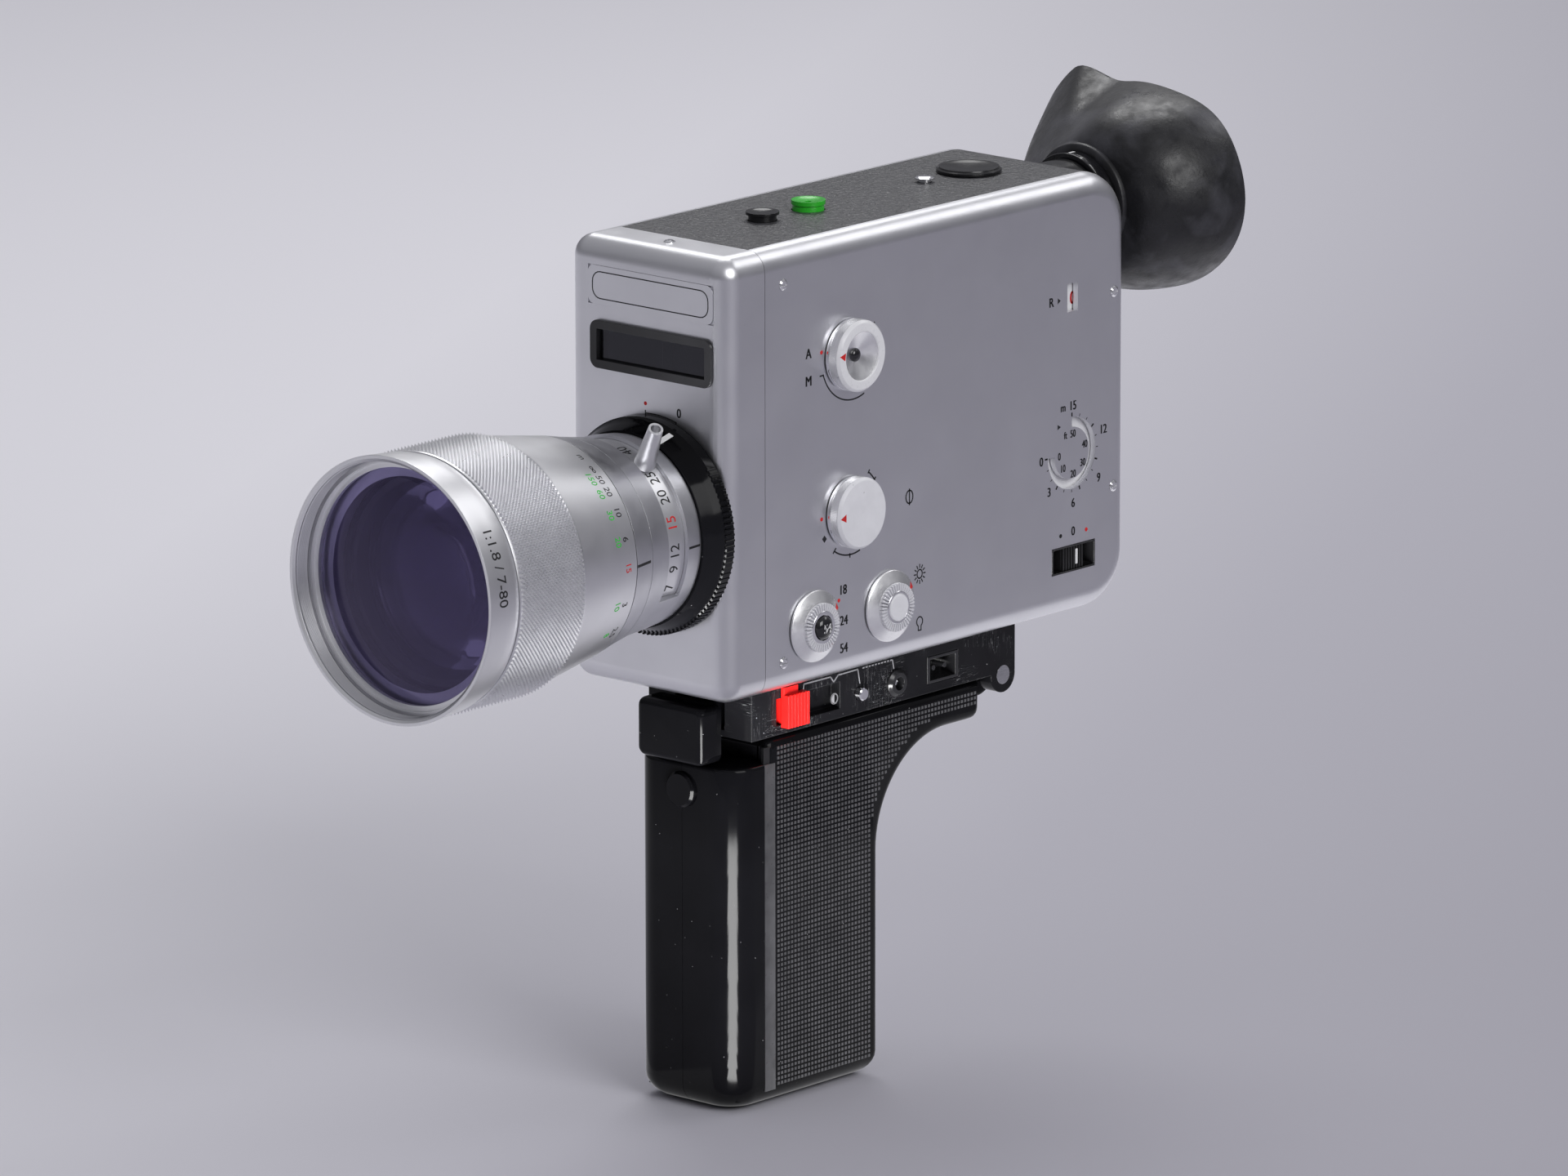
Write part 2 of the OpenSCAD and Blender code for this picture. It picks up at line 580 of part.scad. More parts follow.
// Sliding latch: a ribbed thumb piece outside and a tongue inside
module door_latch() color("black") in_body() {
  y0 = door_y[0] + 7;
  difference() {
    span([-body_x - 1.8, y0 - 3.5, lens_z - 5], [-body_x - 0.3, y0 + 6.5, lens_z + 5]);
    for (i = [0:3]) span([-body_x - 2.5, y0 - 2 + 2 * i, lens_z - 6],
      [-body_x - 1.4, y0 - 1.2 + 2 * i, lens_z + 6]);
  }
  span([-body_x - 0.4, y0, lens_z - 2.3], [-body_x + 1.9, y0 + 3, lens_z + 2.3]);
  span([-body_x + 1.8, y0 - 6, lens_z - 2.3], [-body_x + 2.8, y0 + 3, lens_z + 2.3]);
}

// ---- Base block ----

module base_block() color([0.06, 0.06, 0.07]) in_body() difference() {
  union() {
    span([-grip_x, base_y, -base_h], [grip_x, base_end, 0]);
    slab_x(-grip_x, grip_x) translate([pin_y, pin_z]) circle(r = base_end - pin_y);
  }
  span([-fork_x, pin_y - 9.5, pin_z - 10], [fork_x, base_end + 1, pin_z + 9]);
  translate([-30, pin_y, pin_z]) rotate([0, 90, 0]) cylinder(r = pin_r + fit / 2, h = 60);
  translate([0, bush_y, -base_h - 1]) cylinder(r = 5.5, h = 9);
  span([-stem_x - 0.3, base_y - 1, -12.3], [stem_x + 0.3, base_y + 16, -4.6]);
  span([grip_x - 3, 29.5, -11.5], [grip_x + 1, 54, -4.5]);
  translate([grip_x - 8, 61.4, -8.9]) rotate([0, 90, 0]) cylinder(r = 1.7 + fit, h = 9);
  translate([grip_x - 10, 75.7, -8.8]) rotate([0, 90, 0]) cylinder(r = 3, h = 11);
  span([grip_x - 6, 87.9, -11.6], [grip_x + 1, 100.1, -4.4]);
}

module tripod_bush() color("silver") ring(bush_r, 5.5, 6.5);

module trigger() color([0.05, 0.05, 0.06]) in_body() {
  translate([0, 0, -19.6]) linear_extrude(15.4) polygon(rounded([-11.2, 8], [11.2, 15.5],
    [1.2, 3, 1.5, 1.5]));
  span([-stem_x, 15.4, -12], [stem_x, base_y + 9, -5]);
}

module lock_slider() color("red") in_body() {
  span([grip_x - 2.8, 31.5, -11.3], [grip_x + 0.4, 38.4, -4.7]);
  difference() {
    union() {
      span([grip_x + 0.3, 31, -12.1], [grip_x + 2.8, 39.1, -3.6]);
      span([grip_x + 0.3, 31, -3.7], [grip_x + 1.3, 36.4, -1.6]);
    }
    for (i = [0:5]) span([grip_x + 2.3, 31.7 + 1.2 * i, -15], [grip_x + 4, 32.2 + 1.2 * i, -3]);
  }
}

module release_pin() color("white") in_body() translate([grip_x, 61.4, -8.9]) rotate([0, 90, 0])
  lathe([[0, -6], [1.7, -6], [1.7, 1.6], [1.4, 1.9], [0, 1.9]]);

module remote_jack() color("black") in_body() translate([grip_x, 75.7, -8.8]) rotate([0, 90, 0])
  lathe([[0, -9.5], [3 - fit, -9.5], [3 - fit, 0], [3.6, 0], [3.6, 0.6], [2.8, 1.4], [jack_r, 1.4],
    [jack_r, -8], [0, -8]]);

module remote_socket() color("black") in_body() {
  difference() {
    span([grip_x - 5.9, 88, -11.5], [grip_x + 0.1, 100, -4.5]);
    span([grip_x - 5, 89, -10.8], [grip_x + 1, 99, -5.2]);
  }
  for (y = [91.8, 96.2]) translate([grip_x - 5.5, y, -8]) rotate([0, 90, 0]) cylinder(r = 0.7, h = 4.4);
}

module grip_pin() color("silver") in_body() translate([0, pin_y, pin_z]) rotate([0, 90, 0])
  translate([0, 0, -grip_x - 0.1]) cylinder(r = pin_r, h = 2 * grip_x + 0.2);

// ---- Grip ----

// Side outline of the grip: (back, up)
module grip_side() polygon(concat([[13, -20.3]], arc(20, 7 - grip_bottom, 7, 180, 270),
  arc(grip_rear - 6, 6 - grip_bottom, 6, 270, 360),
  arc(grip_rear + hollow_r, arm_z - hollow_r, hollow_r, 180, 90, 16),
  [[arm_end, arm_z], [arm_end, grip_top], [28, grip_top], [26, grip_top - 2], [26, -20.3]]));

// Plan outline of the grip: (across, back)
module grip_plan() polygon(rounded([-grip_x, 13], [grip_x, arm_end], [9.3, 9.3, 3, 3]));

module grip_solid() intersection() {
  slab_x(-grip_x, grip_x) grip_side();
  translate([0, 0, -120]) linear_extrude(120) grip_plan();
}

// Battery room inside the two halves
module grip_room() translate([0, 0, 2 - grip_bottom]) linear_extrude(grip_bottom - 28)
  polygon(rounded([-15.5, 15], [15.5, grip_rear - 2], [7.3, 7.3, 1, 1]));

module cover_zone(gap) span([-30, 0, -130], [-gap, grip_rear + 0.2 - gap, -20.4 - gap]);

module button_hole() translate([0, 0, button_z]) rotate([-90, 0, 0]) cylinder(r = button_r + fit, h = 20);

module panel_outline() polygon(concat([[25.5, -21.2], [25.5, 4.5 - grip_bottom],
  [grip_rear - 3.5, 4.5 - grip_bottom]],
  arc(grip_rear + hollow_r, arm_z - hollow_r, hollow_r + 3.5, 180, 93, 16),
    [[arm_end - 1.5, arm_z + 3.2], [arm_end - 1.5, -17]]));

module grip_shell() color([0.06, 0.06, 0.07]) in_body() difference() {
  union() {
    grip_solid();
    translate([-fork_x + 0.3, pin_y, pin_z]) rotate([0, 90, 0])
      cylinder(r = tongue_r, h = 2 * fork_x - 0.6);
    span([-fork_x + 0.3, arm_end - 5, pin_z - tongue_r + 0.1], [fork_x - 0.3, pin_y, grip_top]);
  }
  cover_zone(0);
  grip_room();
  button_hole();
  translate([-30, pin_y, pin_z]) rotate([0, 90, 0]) cylinder(r = pin_r + fit, h = 60);
  slab_x(grip_x - 0.5, grip_x + 1) panel_outline();
}

module grip_panel() color([0.2, 0.2, 0.2]) in_body() slab_x(grip_x - 0.5, grip_x - 0.05) panel_outline();

module battery_cover() color([0.06, 0.06, 0.07]) in_body() difference() {
  intersection() {
    grip_solid();
    cover_zone(seam);
  }
  grip_room();
  button_hole();
  cover_panel_zone(grip_x - 0.5, grip_x + 1);
}

module cover_panel_zone(x0, x1) mirror([1, 0, 0]) slab_x(x0, x1)
  polygon([[25.5, -23], [25.5, 4.5 - grip_bottom],
  [grip_rear - 3.5, 4.5 - grip_bottom], [grip_rear - 3.5, -23]]);

module cover_panel() color([0.2, 0.2, 0.2]) in_body() cover_panel_zone(grip_x - 0.5, grip_x - 0.05);

module grip_button() color("black") in_body() translate([0, 0, button_z]) rotate([90, 0, 0])
  translate([0, 0, -15.6])
  lathe([[0, 0], [button_r, 0], [button_r, 3.4], [button_r - 0.6, 4], [0, 4]]);

module battery_holder() color("dimgray") in_body() {
  for (z = [-108.4, -55.8]) {
    span([-14.4, 19.5, z], [14.4, 63.5, z + 1.6]);
    span([-9, 15.8, z], [9, 20, z + 1.6]);
  }
  span([-9, 15.8, -108.4], [9, 17.25, -54.2]);
  span([-14.4, 62, -108.4], [14.4, 63.5, -54.2]);
}

module battery_cells() color("goldenrod") in_body() for (x = [-7.4, 7.4], i = [0:2])
  translate([x, 24.8 + 14.7 * i, -106.7]) lathe([[0, 0], [7.2, 0], [7.2, 49], [2.7, 49], [2.7, 50.4],
    [0, 50.4]]);

front_housing();
right_cover();
left_cover();
body_frame();
leather_strip();
cover_screws();
name_plate();
window_frame();
window_glass();
film_chamber();
film_gate();
drive_motor();
shutter_disc();
takeup_spindle();
circuit_board();
finder_optics();
lens_sleeve();
lock_ring();
zoom_ring();
zoom_lever();
index_ring();
lens_tube();
inner_lenses();
focus_barrel();
focus_grip();
front_ring();
front_lens();
exposure_knob();
aperture_knob();
speed_dial();
frame_button();
filter_dial();
counter_disc();
indicator_wheel();
switch_frame();
switch_slider();
release_button();
fade_button();
test_button();
timer_dial();
eyepiece_tube();
diopter_ring();
eyecup();
film_door();
door_latch();
base_block();
tripod_bush();
trigger();
lock_slider();
release_pin();
remote_jack();
remote_socket();
grip_pin();
grip_shell();
grip_panel();
battery_cover();
cover_panel();
grip_button();
battery_holder();
battery_cells();
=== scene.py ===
import math

import bmesh
import bpy
import numpy as np
from mathutils import Matrix, Vector


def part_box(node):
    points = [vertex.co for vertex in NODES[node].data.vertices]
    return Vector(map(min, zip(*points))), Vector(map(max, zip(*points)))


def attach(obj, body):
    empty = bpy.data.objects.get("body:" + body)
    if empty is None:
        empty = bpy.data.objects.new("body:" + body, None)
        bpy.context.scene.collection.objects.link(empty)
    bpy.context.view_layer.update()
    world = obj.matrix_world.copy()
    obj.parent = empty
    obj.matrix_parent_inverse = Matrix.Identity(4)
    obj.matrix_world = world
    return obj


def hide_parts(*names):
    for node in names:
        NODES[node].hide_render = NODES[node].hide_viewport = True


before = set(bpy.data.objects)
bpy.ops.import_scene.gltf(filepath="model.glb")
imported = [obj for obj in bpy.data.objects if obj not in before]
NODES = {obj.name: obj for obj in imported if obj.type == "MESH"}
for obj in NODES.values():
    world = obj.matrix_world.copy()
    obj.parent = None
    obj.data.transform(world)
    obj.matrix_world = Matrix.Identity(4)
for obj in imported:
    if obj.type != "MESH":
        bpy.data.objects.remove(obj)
bpy.context.view_layer.update()
scene = bpy.context.scene

# Lengths below are in millimetres in the casing's own axes: x across from the middle, y back from
# the front face, z up from the underside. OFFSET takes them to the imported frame.
OFFSET = np.array([0.0, -66.0, 14.0])


def mm(points):
    return (np.asarray(points, float) + OFFSET) / 1000


class Axis:
    """A place to build round: origin o, radial directions u and v, axial direction w."""

    def __init__(self, o, u, v, w):
        self.o, self.u, self.v, self.w = (np.array(a, float) for a in (o, u, v, w))

    def at(self, r, a, d):
        """Points from radius, angle in radians from u towards v, and distance along w."""
        r, a, d = (np.asarray(x, float)[..., None] for x in (r, a, d))
        return self.o + r * np.cos(a) * self.u + r * np.sin(a) * self.v + d * self.w

    def flat(self, x, y, h):
        x, y, h = (np.asarray(k, float)[..., None] for k in (x, y, h))
        return self.o + x * self.u + y * self.v + h * self.w


X, Y, Z = (1, 0, 0), (0, 1, 0), (0, 0, 1)
LENS = Axis((2.5, 0, 44.4), X, Z, (0, -1, 0))
EYE = Axis((0, 157, 100.3), X, Z, Y)
FRONT = Axis((0, 0, 0), X, Z, (0, -1, 0))
BODY_X, GRIP_X = 27.0, 17.5


def side(y=0.0, z=0.0, x=BODY_X):
    return Axis((x, y, z), Y, Z, X)


EXPOSURE, APERTURE = side(46.4, 83.9), side(46.9, 43.0)
SPEED, FILTER = side(33.1, 15.6), side(62.0, 15.6)

# ---- Materials ----


def ramp(nt, source, stops):
    node = nt.nodes.new("ShaderNodeValToRGB")
    els = node.color_ramp.elements
    while len(els) < len(stops):
        els.new(0.5)
    for e, (p, c) in zip(els, stops):
        e.position = p
        e.color = (*c, 1) if len(c) == 3 else c
    nt.links.new(source, node.inputs[0])
    return node.outputs[0]


def material(name, color, rough, metallic=0.0, vary=0.08, vary_scale=70.0, rough_vary=0.06,
             bump=0.0, bump_scale=4000.0, bump_size=5e-5, bevel=0.0, stretch=(1, 1, 1),
             specks=0.0, scratches=0.0, worn=None, radial=None, cells=False,
             pits=False, **sockets):
    """A procedural material: mottled colour and roughness, a fine bump, soft edges, and dust,
    scratches, pits, rubbed patches and patches of painted sheen where they are asked for."""
    m = bpy.data.materials.new(name)
    m.use_nodes = True
    nt = m.node_tree
    N, link = nt.nodes, nt.links.new
    bsdf = N["Principled BSDF"]
    coord = N.new("ShaderNodeTexCoord").outputs["Object"]
    mapping = N.new("ShaderNodeMapping")
    mapping.inputs["Scale"].default_value = stretch
    link(coord, mapping.inputs["Vector"])
    place = mapping.outputs[0]

    def noise(scale, detail=3.0, at=place, w=0.0, distort=0.0):
        n = N.new("ShaderNodeTexNoise")
        n.inputs["Scale"].default_value = scale
        n.inputs["Detail"].default_value = detail
        n.inputs["Distortion"].default_value = distort
        if w:
            shift = N.new("ShaderNodeMapping")
            shift.inputs["Location"].default_value = (w, 2 * w, 3 * w)
            link(at, shift.inputs["Vector"])
            at = shift.outputs[0]
        link(at, n.inputs["Vector"])
        return n.outputs["Fac"]

    def mix(fac, a, b):
        n = N.new("ShaderNodeMix")
        n.data_type = "RGBA"
        for value, socket in ((a, n.inputs[6]), (b, n.inputs[7])):
            if isinstance(value, tuple):
                socket.default_value = (*value[:3], 1)
            else:
                link(value, socket)
        link(fac, n.inputs[0])
        return n.outputs[2]

    def product(a, b):
        n = N.new("ShaderNodeMath")
        n.operation = "MULTIPLY"
        link(a, n.inputs[0])
        link(b, n.inputs[1])
        return n.outputs[0]

    def spots(scale, near, far):
        n = N.new("ShaderNodeTexVoronoi")
        n.inputs["Scale"].default_value = scale
        link(coord, n.inputs["Vector"])
        return ramp(nt, n.outputs["Distance"], [(near, (1, 1, 1)), (far, (0, 0, 0))])

    lo = tuple(c * (1 - vary) for c in color)
    hi = tuple(min(1.0, c * (1 + vary)) for c in color)
    base = mix(ramp(nt, noise(vary_scale), [(0.3, (0, 0, 0)), (0.7, (1, 1, 1))]), lo, hi)
    span = N.new("ShaderNodeMapRange")
    span.inputs["From Min"].default_value = 0.3
    span.inputs["From Max"].default_value = 0.7
    span.inputs["To Min"].default_value = max(0.02, rough - rough_vary)
    span.inputs["To Max"].default_value = min(1.0, rough + rough_vary)
    link(noise(vary_scale * 2.3, 4.0, w=3.1), span.inputs[0])
    rough_out = span.outputs[0]
    # Patches of another tone: rubbed wear on the body and the knob faces, painted sheen on the eyecup rubber.
    if worn:
        amount, tone = worn
        patch = ramp(nt, noise(vary_scale * 0.55, 5.0, w=7.7, distort=0.6),
                     [(0.52, (0, 0, 0)), (0.78, (amount,) * 3)])
        base = mix(patch, base, tone)
    if specks:
        few = ramp(nt, noise(160.0, 2.0, at=coord, w=5.0), [(0.5, (0, 0, 0)), (0.62, (specks,) * 3)])
        base = mix(product(spots(420.0, 0.03, 0.07), few), base, (0.55, 0.55, 0.57))
    if scratches:
        for k, s in enumerate(((1, 60, 4), (1, 5, 70))):
            mp = N.new("ShaderNodeMapping")
            mp.inputs["Scale"].default_value = s
            mp.inputs["Rotation"].default_value = (0.5 - 0.9 * k, 0, 0)
            link(coord, mp.inputs["Vector"])
            line = ramp(nt, noise(28.0, 1.0, at=mp.outputs[0], w=1.7 * k + 0.4),
                        [(0.495, (0, 0, 0)), (0.5, (scratches,) * 3), (0.505, (0, 0, 0))])
            where = ramp(nt, noise(70.0, 2.0, at=coord, w=9.0 + k), [(0.5, (0, 0, 0)), (0.6, (1, 1, 1))])
            base = mix(product(line, where), base, (0.5, 0.5, 0.52))
    if pits:
        few = ramp(nt, noise(330.0, 1.0, at=coord, w=2.0), [(0.56, (0, 0, 0)), (0.60, (0.8,) * 3)])
        base = mix(product(spots(620.0, 0.06, 0.10), few), base, (0.10, 0.10, 0.11))
    link(base, bsdf.inputs["Base Color"])
    link(rough_out, bsdf.inputs["Roughness"])
    bsdf.inputs["Metallic"].default_value = metallic
    normal = None
    if bevel:
        bv = N.new("ShaderNodeBevel")
        bv.samples = 6
        bv.inputs["Radius"].default_value = bevel / 1000
        normal = bv.outputs[0]
    if bump:
        bp = N.new("ShaderNodeBump")
        bp.inputs["Strength"].default_value = bump
        bp.inputs["Distance"].default_value = bump_size
        if cells:
            v = N.new("ShaderNodeTexVoronoi")
            v.feature = "SMOOTH_F1"
            v.inputs["Scale"].default_value = bump_scale
            warp = N.new("ShaderNodeMix")
            warp.data_type = "VECTOR"
            warp.inputs[0].default_value = 0.0016
            nz = N.new("ShaderNodeTexNoise")
            nz.inputs["Scale"].default_value = bump_scale * 0.6
            link(place, nz.inputs["Vector"])
            link(place, warp.inputs[4])
            link(nz.outputs["Color"], warp.inputs[5])
            link(warp.outputs[1], v.inputs["Vector"])
            link(v.outputs["Distance"], bp.inputs["Height"])
        else:
            link(noise(bump_scale, 4.0), bp.inputs["Height"])
        if normal is not None:
            link(normal, bp.inputs["Normal"])
        normal = bp.outputs[0]
    if normal is not None:
        link(normal, bsdf.inputs["Normal"])
    if radial:
        t = N.new("ShaderNodeTangent")
        t.direction_type = "RADIAL"
        t.axis = radial
        link(t.outputs[0], bsdf.inputs["Tangent"])
    for key, value in sockets.items():
        bsdf.inputs[key.replace("_", " ")].default_value = value
    return m


SATIN = material("satin_body", (0.78, 0.78, 0.81), 0.36, 1.0, vary=0.025, vary_scale=45, rough_vary=0.03,
                 bump=0.22, bump_scale=6000, bump_size=2e-5, worn=(0.16, (0.92, 0.92, 0.94)), specks=0.35)
BARREL = material("satin_barrel", (0.84, 0.84, 0.86), 0.38, 1.0, vary=0.02, vary_scale=80, rough_vary=0.02,
                  bump=0.12, bump_scale=6000, bump_size=1.2e-5, bevel=0.15)
BAND = material("matt_barrel", (0.66, 0.66, 0.69), 0.36, 1.0, vary=0.04, vary_scale=80,
                bump=0.15, bump_scale=5000, bump_size=1.5e-5, bevel=0.15)
KNURL = material("knurled_metal", (0.88, 0.88, 0.90), 0.30, 1.0, vary=0.03, vary_scale=150, rough_vary=0.03,
                 bump=0.10, bump_scale=7000, bump_size=1.0e-5)
TURNED = material("turned_metal", (0.96, 0.96, 0.97), 0.24, 1.0, vary=0.03, vary_scale=300, rough_vary=0.03,
                  bump=0.08, bump_scale=9000, bump_size=5e-6, radial="X", Anisotropic=0.85)
SILVER = material("satin_silver", (0.85, 0.85, 0.88), 0.36, 0.25, vary=0.03, vary_scale=300, rough_vary=0.04,
                  bump=0.1, bump_scale=6000, bump_size=1e-5)
CHROME = material("polished_metal", (0.90, 0.90, 0.92), 0.10, 1.0, vary=0.04, vary_scale=400, rough_vary=0.05,
                  bump=0.05, bump_scale=3000, bump_size=1e-5, bevel=0.08)
WHITE = material("white_enamel", (0.88, 0.88, 0.90), 0.30, 0.0, vary=0.02, vary_scale=300, rough_vary=0.05,
                 bump=0.12, bump_scale=3000, bump_size=2e-5, Coat_Weight=0.3)
WHITE_FACE = material("speckled_enamel", (0.86, 0.86, 0.89), 0.36, vary=0.03, vary_scale=300, rough_vary=0.06,
                      bump=0.15, bump_scale=3000, bump_size=2e-5, worn=(0.12, (0.7, 0.7, 0.73)), pits=True)
DISC = material("indicator_white", (0.90, 0.90, 0.92), 0.5, vary=0.03, vary_scale=200, bump=0.1,
                bump_scale=4000)
LEATHER = material("grained_leatherette", (0.060, 0.060, 0.066), 0.40, vary=0.45, vary_scale=1500,
                   rough_vary=0.12, bump=1.0, bump_scale=1100, bump_size=3.5e-4, cells=True,
                   Specular_IOR_Level=0.7)
GLOSS = material("gloss_black", (0.002, 0.002, 0.0025), 0.10, vary=0.2, vary_scale=60, rough_vary=0.04,
                 bump=0.04, bump_scale=900, bump_size=1e-5, specks=0.30,
                 Specular_IOR_Level=0.11)
BASE_BLACK = material("worn_gloss_black", (0.006, 0.006, 0.007), 0.12, vary=0.2, vary_scale=60, rough_vary=0.05,
                      bump=0.05, bump_scale=900, bump_size=1e-5, bevel=0.45, specks=0.8, scratches=0.5,
                      Specular_IOR_Level=0.11)
BLACK_GLOSS = material("black_jewel", (0.008, 0.008, 0.010), 0.05, vary=0.2, vary_scale=400, rough_vary=0.03,
                       bump=0.03, bump_scale=900, Coat_Weight=0.5)
BLACK = material("black_enamel", (0.010, 0.010, 0.011), 0.20, vary=0.2, vary_scale=120, rough_vary=0.06,
                 bump=0.1, bump_scale=3000, bump_size=2e-5, bevel=0.2)
MATT = material("matt_black", (0.014, 0.014, 0.015), 0.45, vary=0.2, vary_scale=150, rough_vary=0.08,
                bump=0.2, bump_scale=5000, bevel=0.15)
CHECK = material("grip_plastic", (0.12, 0.12, 0.125), 0.34, vary=0.25, vary_scale=200, rough_vary=0.08,
                 bump=0.3, bump_scale=3500, bump_size=4e-5)
# The lighter grey patches on this rubber are painted sheen.
RUBBER = material("rubber_painted_sheen", (0.012, 0.012, 0.014), 0.38, vary=0.5, vary_scale=110, rough_vary=0.14,
                  bump=0.6, bump_scale=1100, bump_size=8e-5, worn=(0.9, (0.09, 0.09, 0.105)),
                  Sheen_Weight=0.12, Sheen_Roughness=0.4)
GREEN = material("green_plastic", (0.035, 0.55, 0.03), 0.25, vary=0.08, vary_scale=400, bump=0.1,
                 bump_scale=3000, bevel=0.15, Coat_Weight=0.2)
RED = material("red_plastic", (0.72, 0.010, 0.008), 0.38, vary=0.12, vary_scale=300, bump=0.3,
               bump_scale=3500, bump_size=4e-5, bevel=0.12)
INK = material("black_ink", (0.008, 0.008, 0.009), 0.5, vary=0.3, vary_scale=500, bump=0.1)
GREY_INK = material("side_ink", (0.014, 0.014, 0.016), 0.5, vary=0.3, vary_scale=500, bump=0.1)
RED_INK = material("red_ink", (0.70, 0.015, 0.015), 0.5, vary=0.12, vary_scale=500, bump=0.1)
GREEN_INK = material("green_ink", (0.03, 0.60, 0.05), 0.5, vary=0.2, vary_scale=500, bump=0.1)
WHITE_INK = material("white_ink", (0.90, 0.90, 0.90), 0.5, vary=0.05, vary_scale=500, bump=0.1)
INNER = material("dark_casting", (0.05, 0.05, 0.055), 0.55, 0.3, vary=0.15, vary_scale=200, bump=0.3,
                 bump_scale=2500)
STEEL = material("brushed_steel", (0.50, 0.50, 0.52), 0.30, 1.0, vary=0.08, vary_scale=200,
                 stretch=(1, 1, 12), bump=0.15, bump_scale=1500, bevel=0.1)
BOARD = material("circuit_board", (0.03, 0.14, 0.06), 0.4, vary=0.25, vary_scale=300, bump=0.3,
                 bump_scale=900)
CELL = material("cell_sleeve", (0.45, 0.28, 0.06), 0.3, 0.5, vary=0.1, vary_scale=100, bump=0.1,
                bump_scale=900)


def glass(name, tint, reflection, specks=0.10):
    """Coated glass: clear and tinted, and its reflection carries the coating's colour."""
    m = material(name, tint, 0.02, vary=0.06, vary_scale=40, rough_vary=0.01, specks=specks,
                 Transmission_Weight=1.0, IOR=1.55)
    m.node_tree.nodes["Principled BSDF"].inputs["Specular Tint"].default_value = (*reflection, 1)
    return m


LENS_GLASS = glass("coated_glass", (0.55, 0.52, 0.70), (0.62, 0.52, 1.0))
WINDOW_GLASS = glass("window_glass", (0.10, 0.10, 0.12), (0.8, 0.8, 0.9))

# ---- Mesh tools ----


def add(name, verts, faces, mat, body="camera", angle=35.0, replaces=(), fix=True):
    me = bpy.data.meshes.new(name)
    me.from_pydata([tuple(v) for v in mm(verts)], [], [tuple(int(i) for i in f) for f in faces])
    if fix:
        bm = bmesh.new()
        bm.from_mesh(me)
        bmesh.ops.remove_doubles(bm, verts=bm.verts, dist=2e-7)
        bmesh.ops.dissolve_degenerate(bm, edges=bm.edges, dist=1e-7)
        bmesh.ops.recalc_face_normals(bm, faces=bm.faces)
        bm.to_mesh(me)
        bm.free()
    me.materials.append(mat)
    me.polygons.foreach_set("use_smooth", [True] * len(me.polygons))
    me.set_sharp_from_angle(angle=math.radians(angle))
    obj = bpy.data.objects.new(name, me)
    scene.collection.objects.link(obj)
    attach(obj, body)
    if replaces:
        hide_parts(*replaces)
    return obj


def join(parts):
    """One vertex and face list from several."""
    verts, faces, n = [], [], 0
    for v, f in parts:
        v = np.asarray(v, float).reshape(-1, 3)
        verts.append(v)
        faces += [[i + n for i in face] for face in f]
        n += len(v)
    return np.vstack(verts), faces


def grid_faces(rows, cols):
    """Quads between rows of points that go once round."""
    faces = []
    for i in range(rows - 1):
        for j in range(cols):
            k = (j + 1) % cols
            faces.append([i * cols + j, i * cols + k, (i + 1) * cols + k, (i + 1) * cols + j])
    return faces


def lathe(axis, profile, seg=128):
    """Surface of revolution of (radius, distance) points, closed where the profile is closed."""
    a = np.radians(np.linspace(0.0, 360.0, seg, endpoint=False))
    p = np.array(profile, float)
    v = axis.at(p[:, 0][:, None] + 0 * a, a[None, :] + 0 * p[:, :1], p[:, 1][:, None] + 0 * a)
    return v.reshape(-1, 3), grid_faces(len(p), seg)


def fillet(profile, r, steps=3):
    """Rounds every corner of a closed (radius, distance) profile by up to r."""
    p = [np.array(q, float) for q in profile]
    out = []
    for i, b in enumerate(p):
        a, c = p[i - 1], p[(i + 1) % len(p)]
        ab, cb = a - b, c - b
        la, lc = np.linalg.norm(ab), np.linalg.norm(cb)
        if la < 1e-9 or lc < 1e-9:
            out.append(b)
            continue
        t = min(r, la * 0.45, lc * 0.45)
        s, e = b + ab / la * t, b + cb / lc * t
        for k in range(steps + 1):
            f = k / steps
            out.append((1 - f) ** 2 * s + 2 * f * (1 - f) * b + f * f * e)
    return out


def knurl(axis, r, height, d0, d1, rows, cols):
    """Band of small diamond pyramids round an axis."""
    a = np.arange(cols) * 2 * math.pi / cols
    d = np.linspace(d0, d1, rows)
    odd = (np.add.outer(np.arange(rows), np.arange(cols)) % 2).astype(float)
    odd[0] = odd[-1] = 1
    rr = r + height * (1 - odd)
    v = axis.at(rr, a[None, :] + 0 * rr, d[:, None] + 0 * rr).reshape(-1, 3)
    faces = []
    for i in range(rows - 1):
        for j in range(cols):
            k = (j + 1) % cols
            q = [i * cols + j, i * cols + k, (i + 1) * cols + k, (i + 1) * cols + j]
            if (i + j) % 2 == 0:
                faces += [[q[0], q[1], q[3]], [q[1], q[2], q[3]]]
            else:
                faces += [[q[0], q[1], q[2]], [q[0], q[2], q[3]]]
    return v, faces


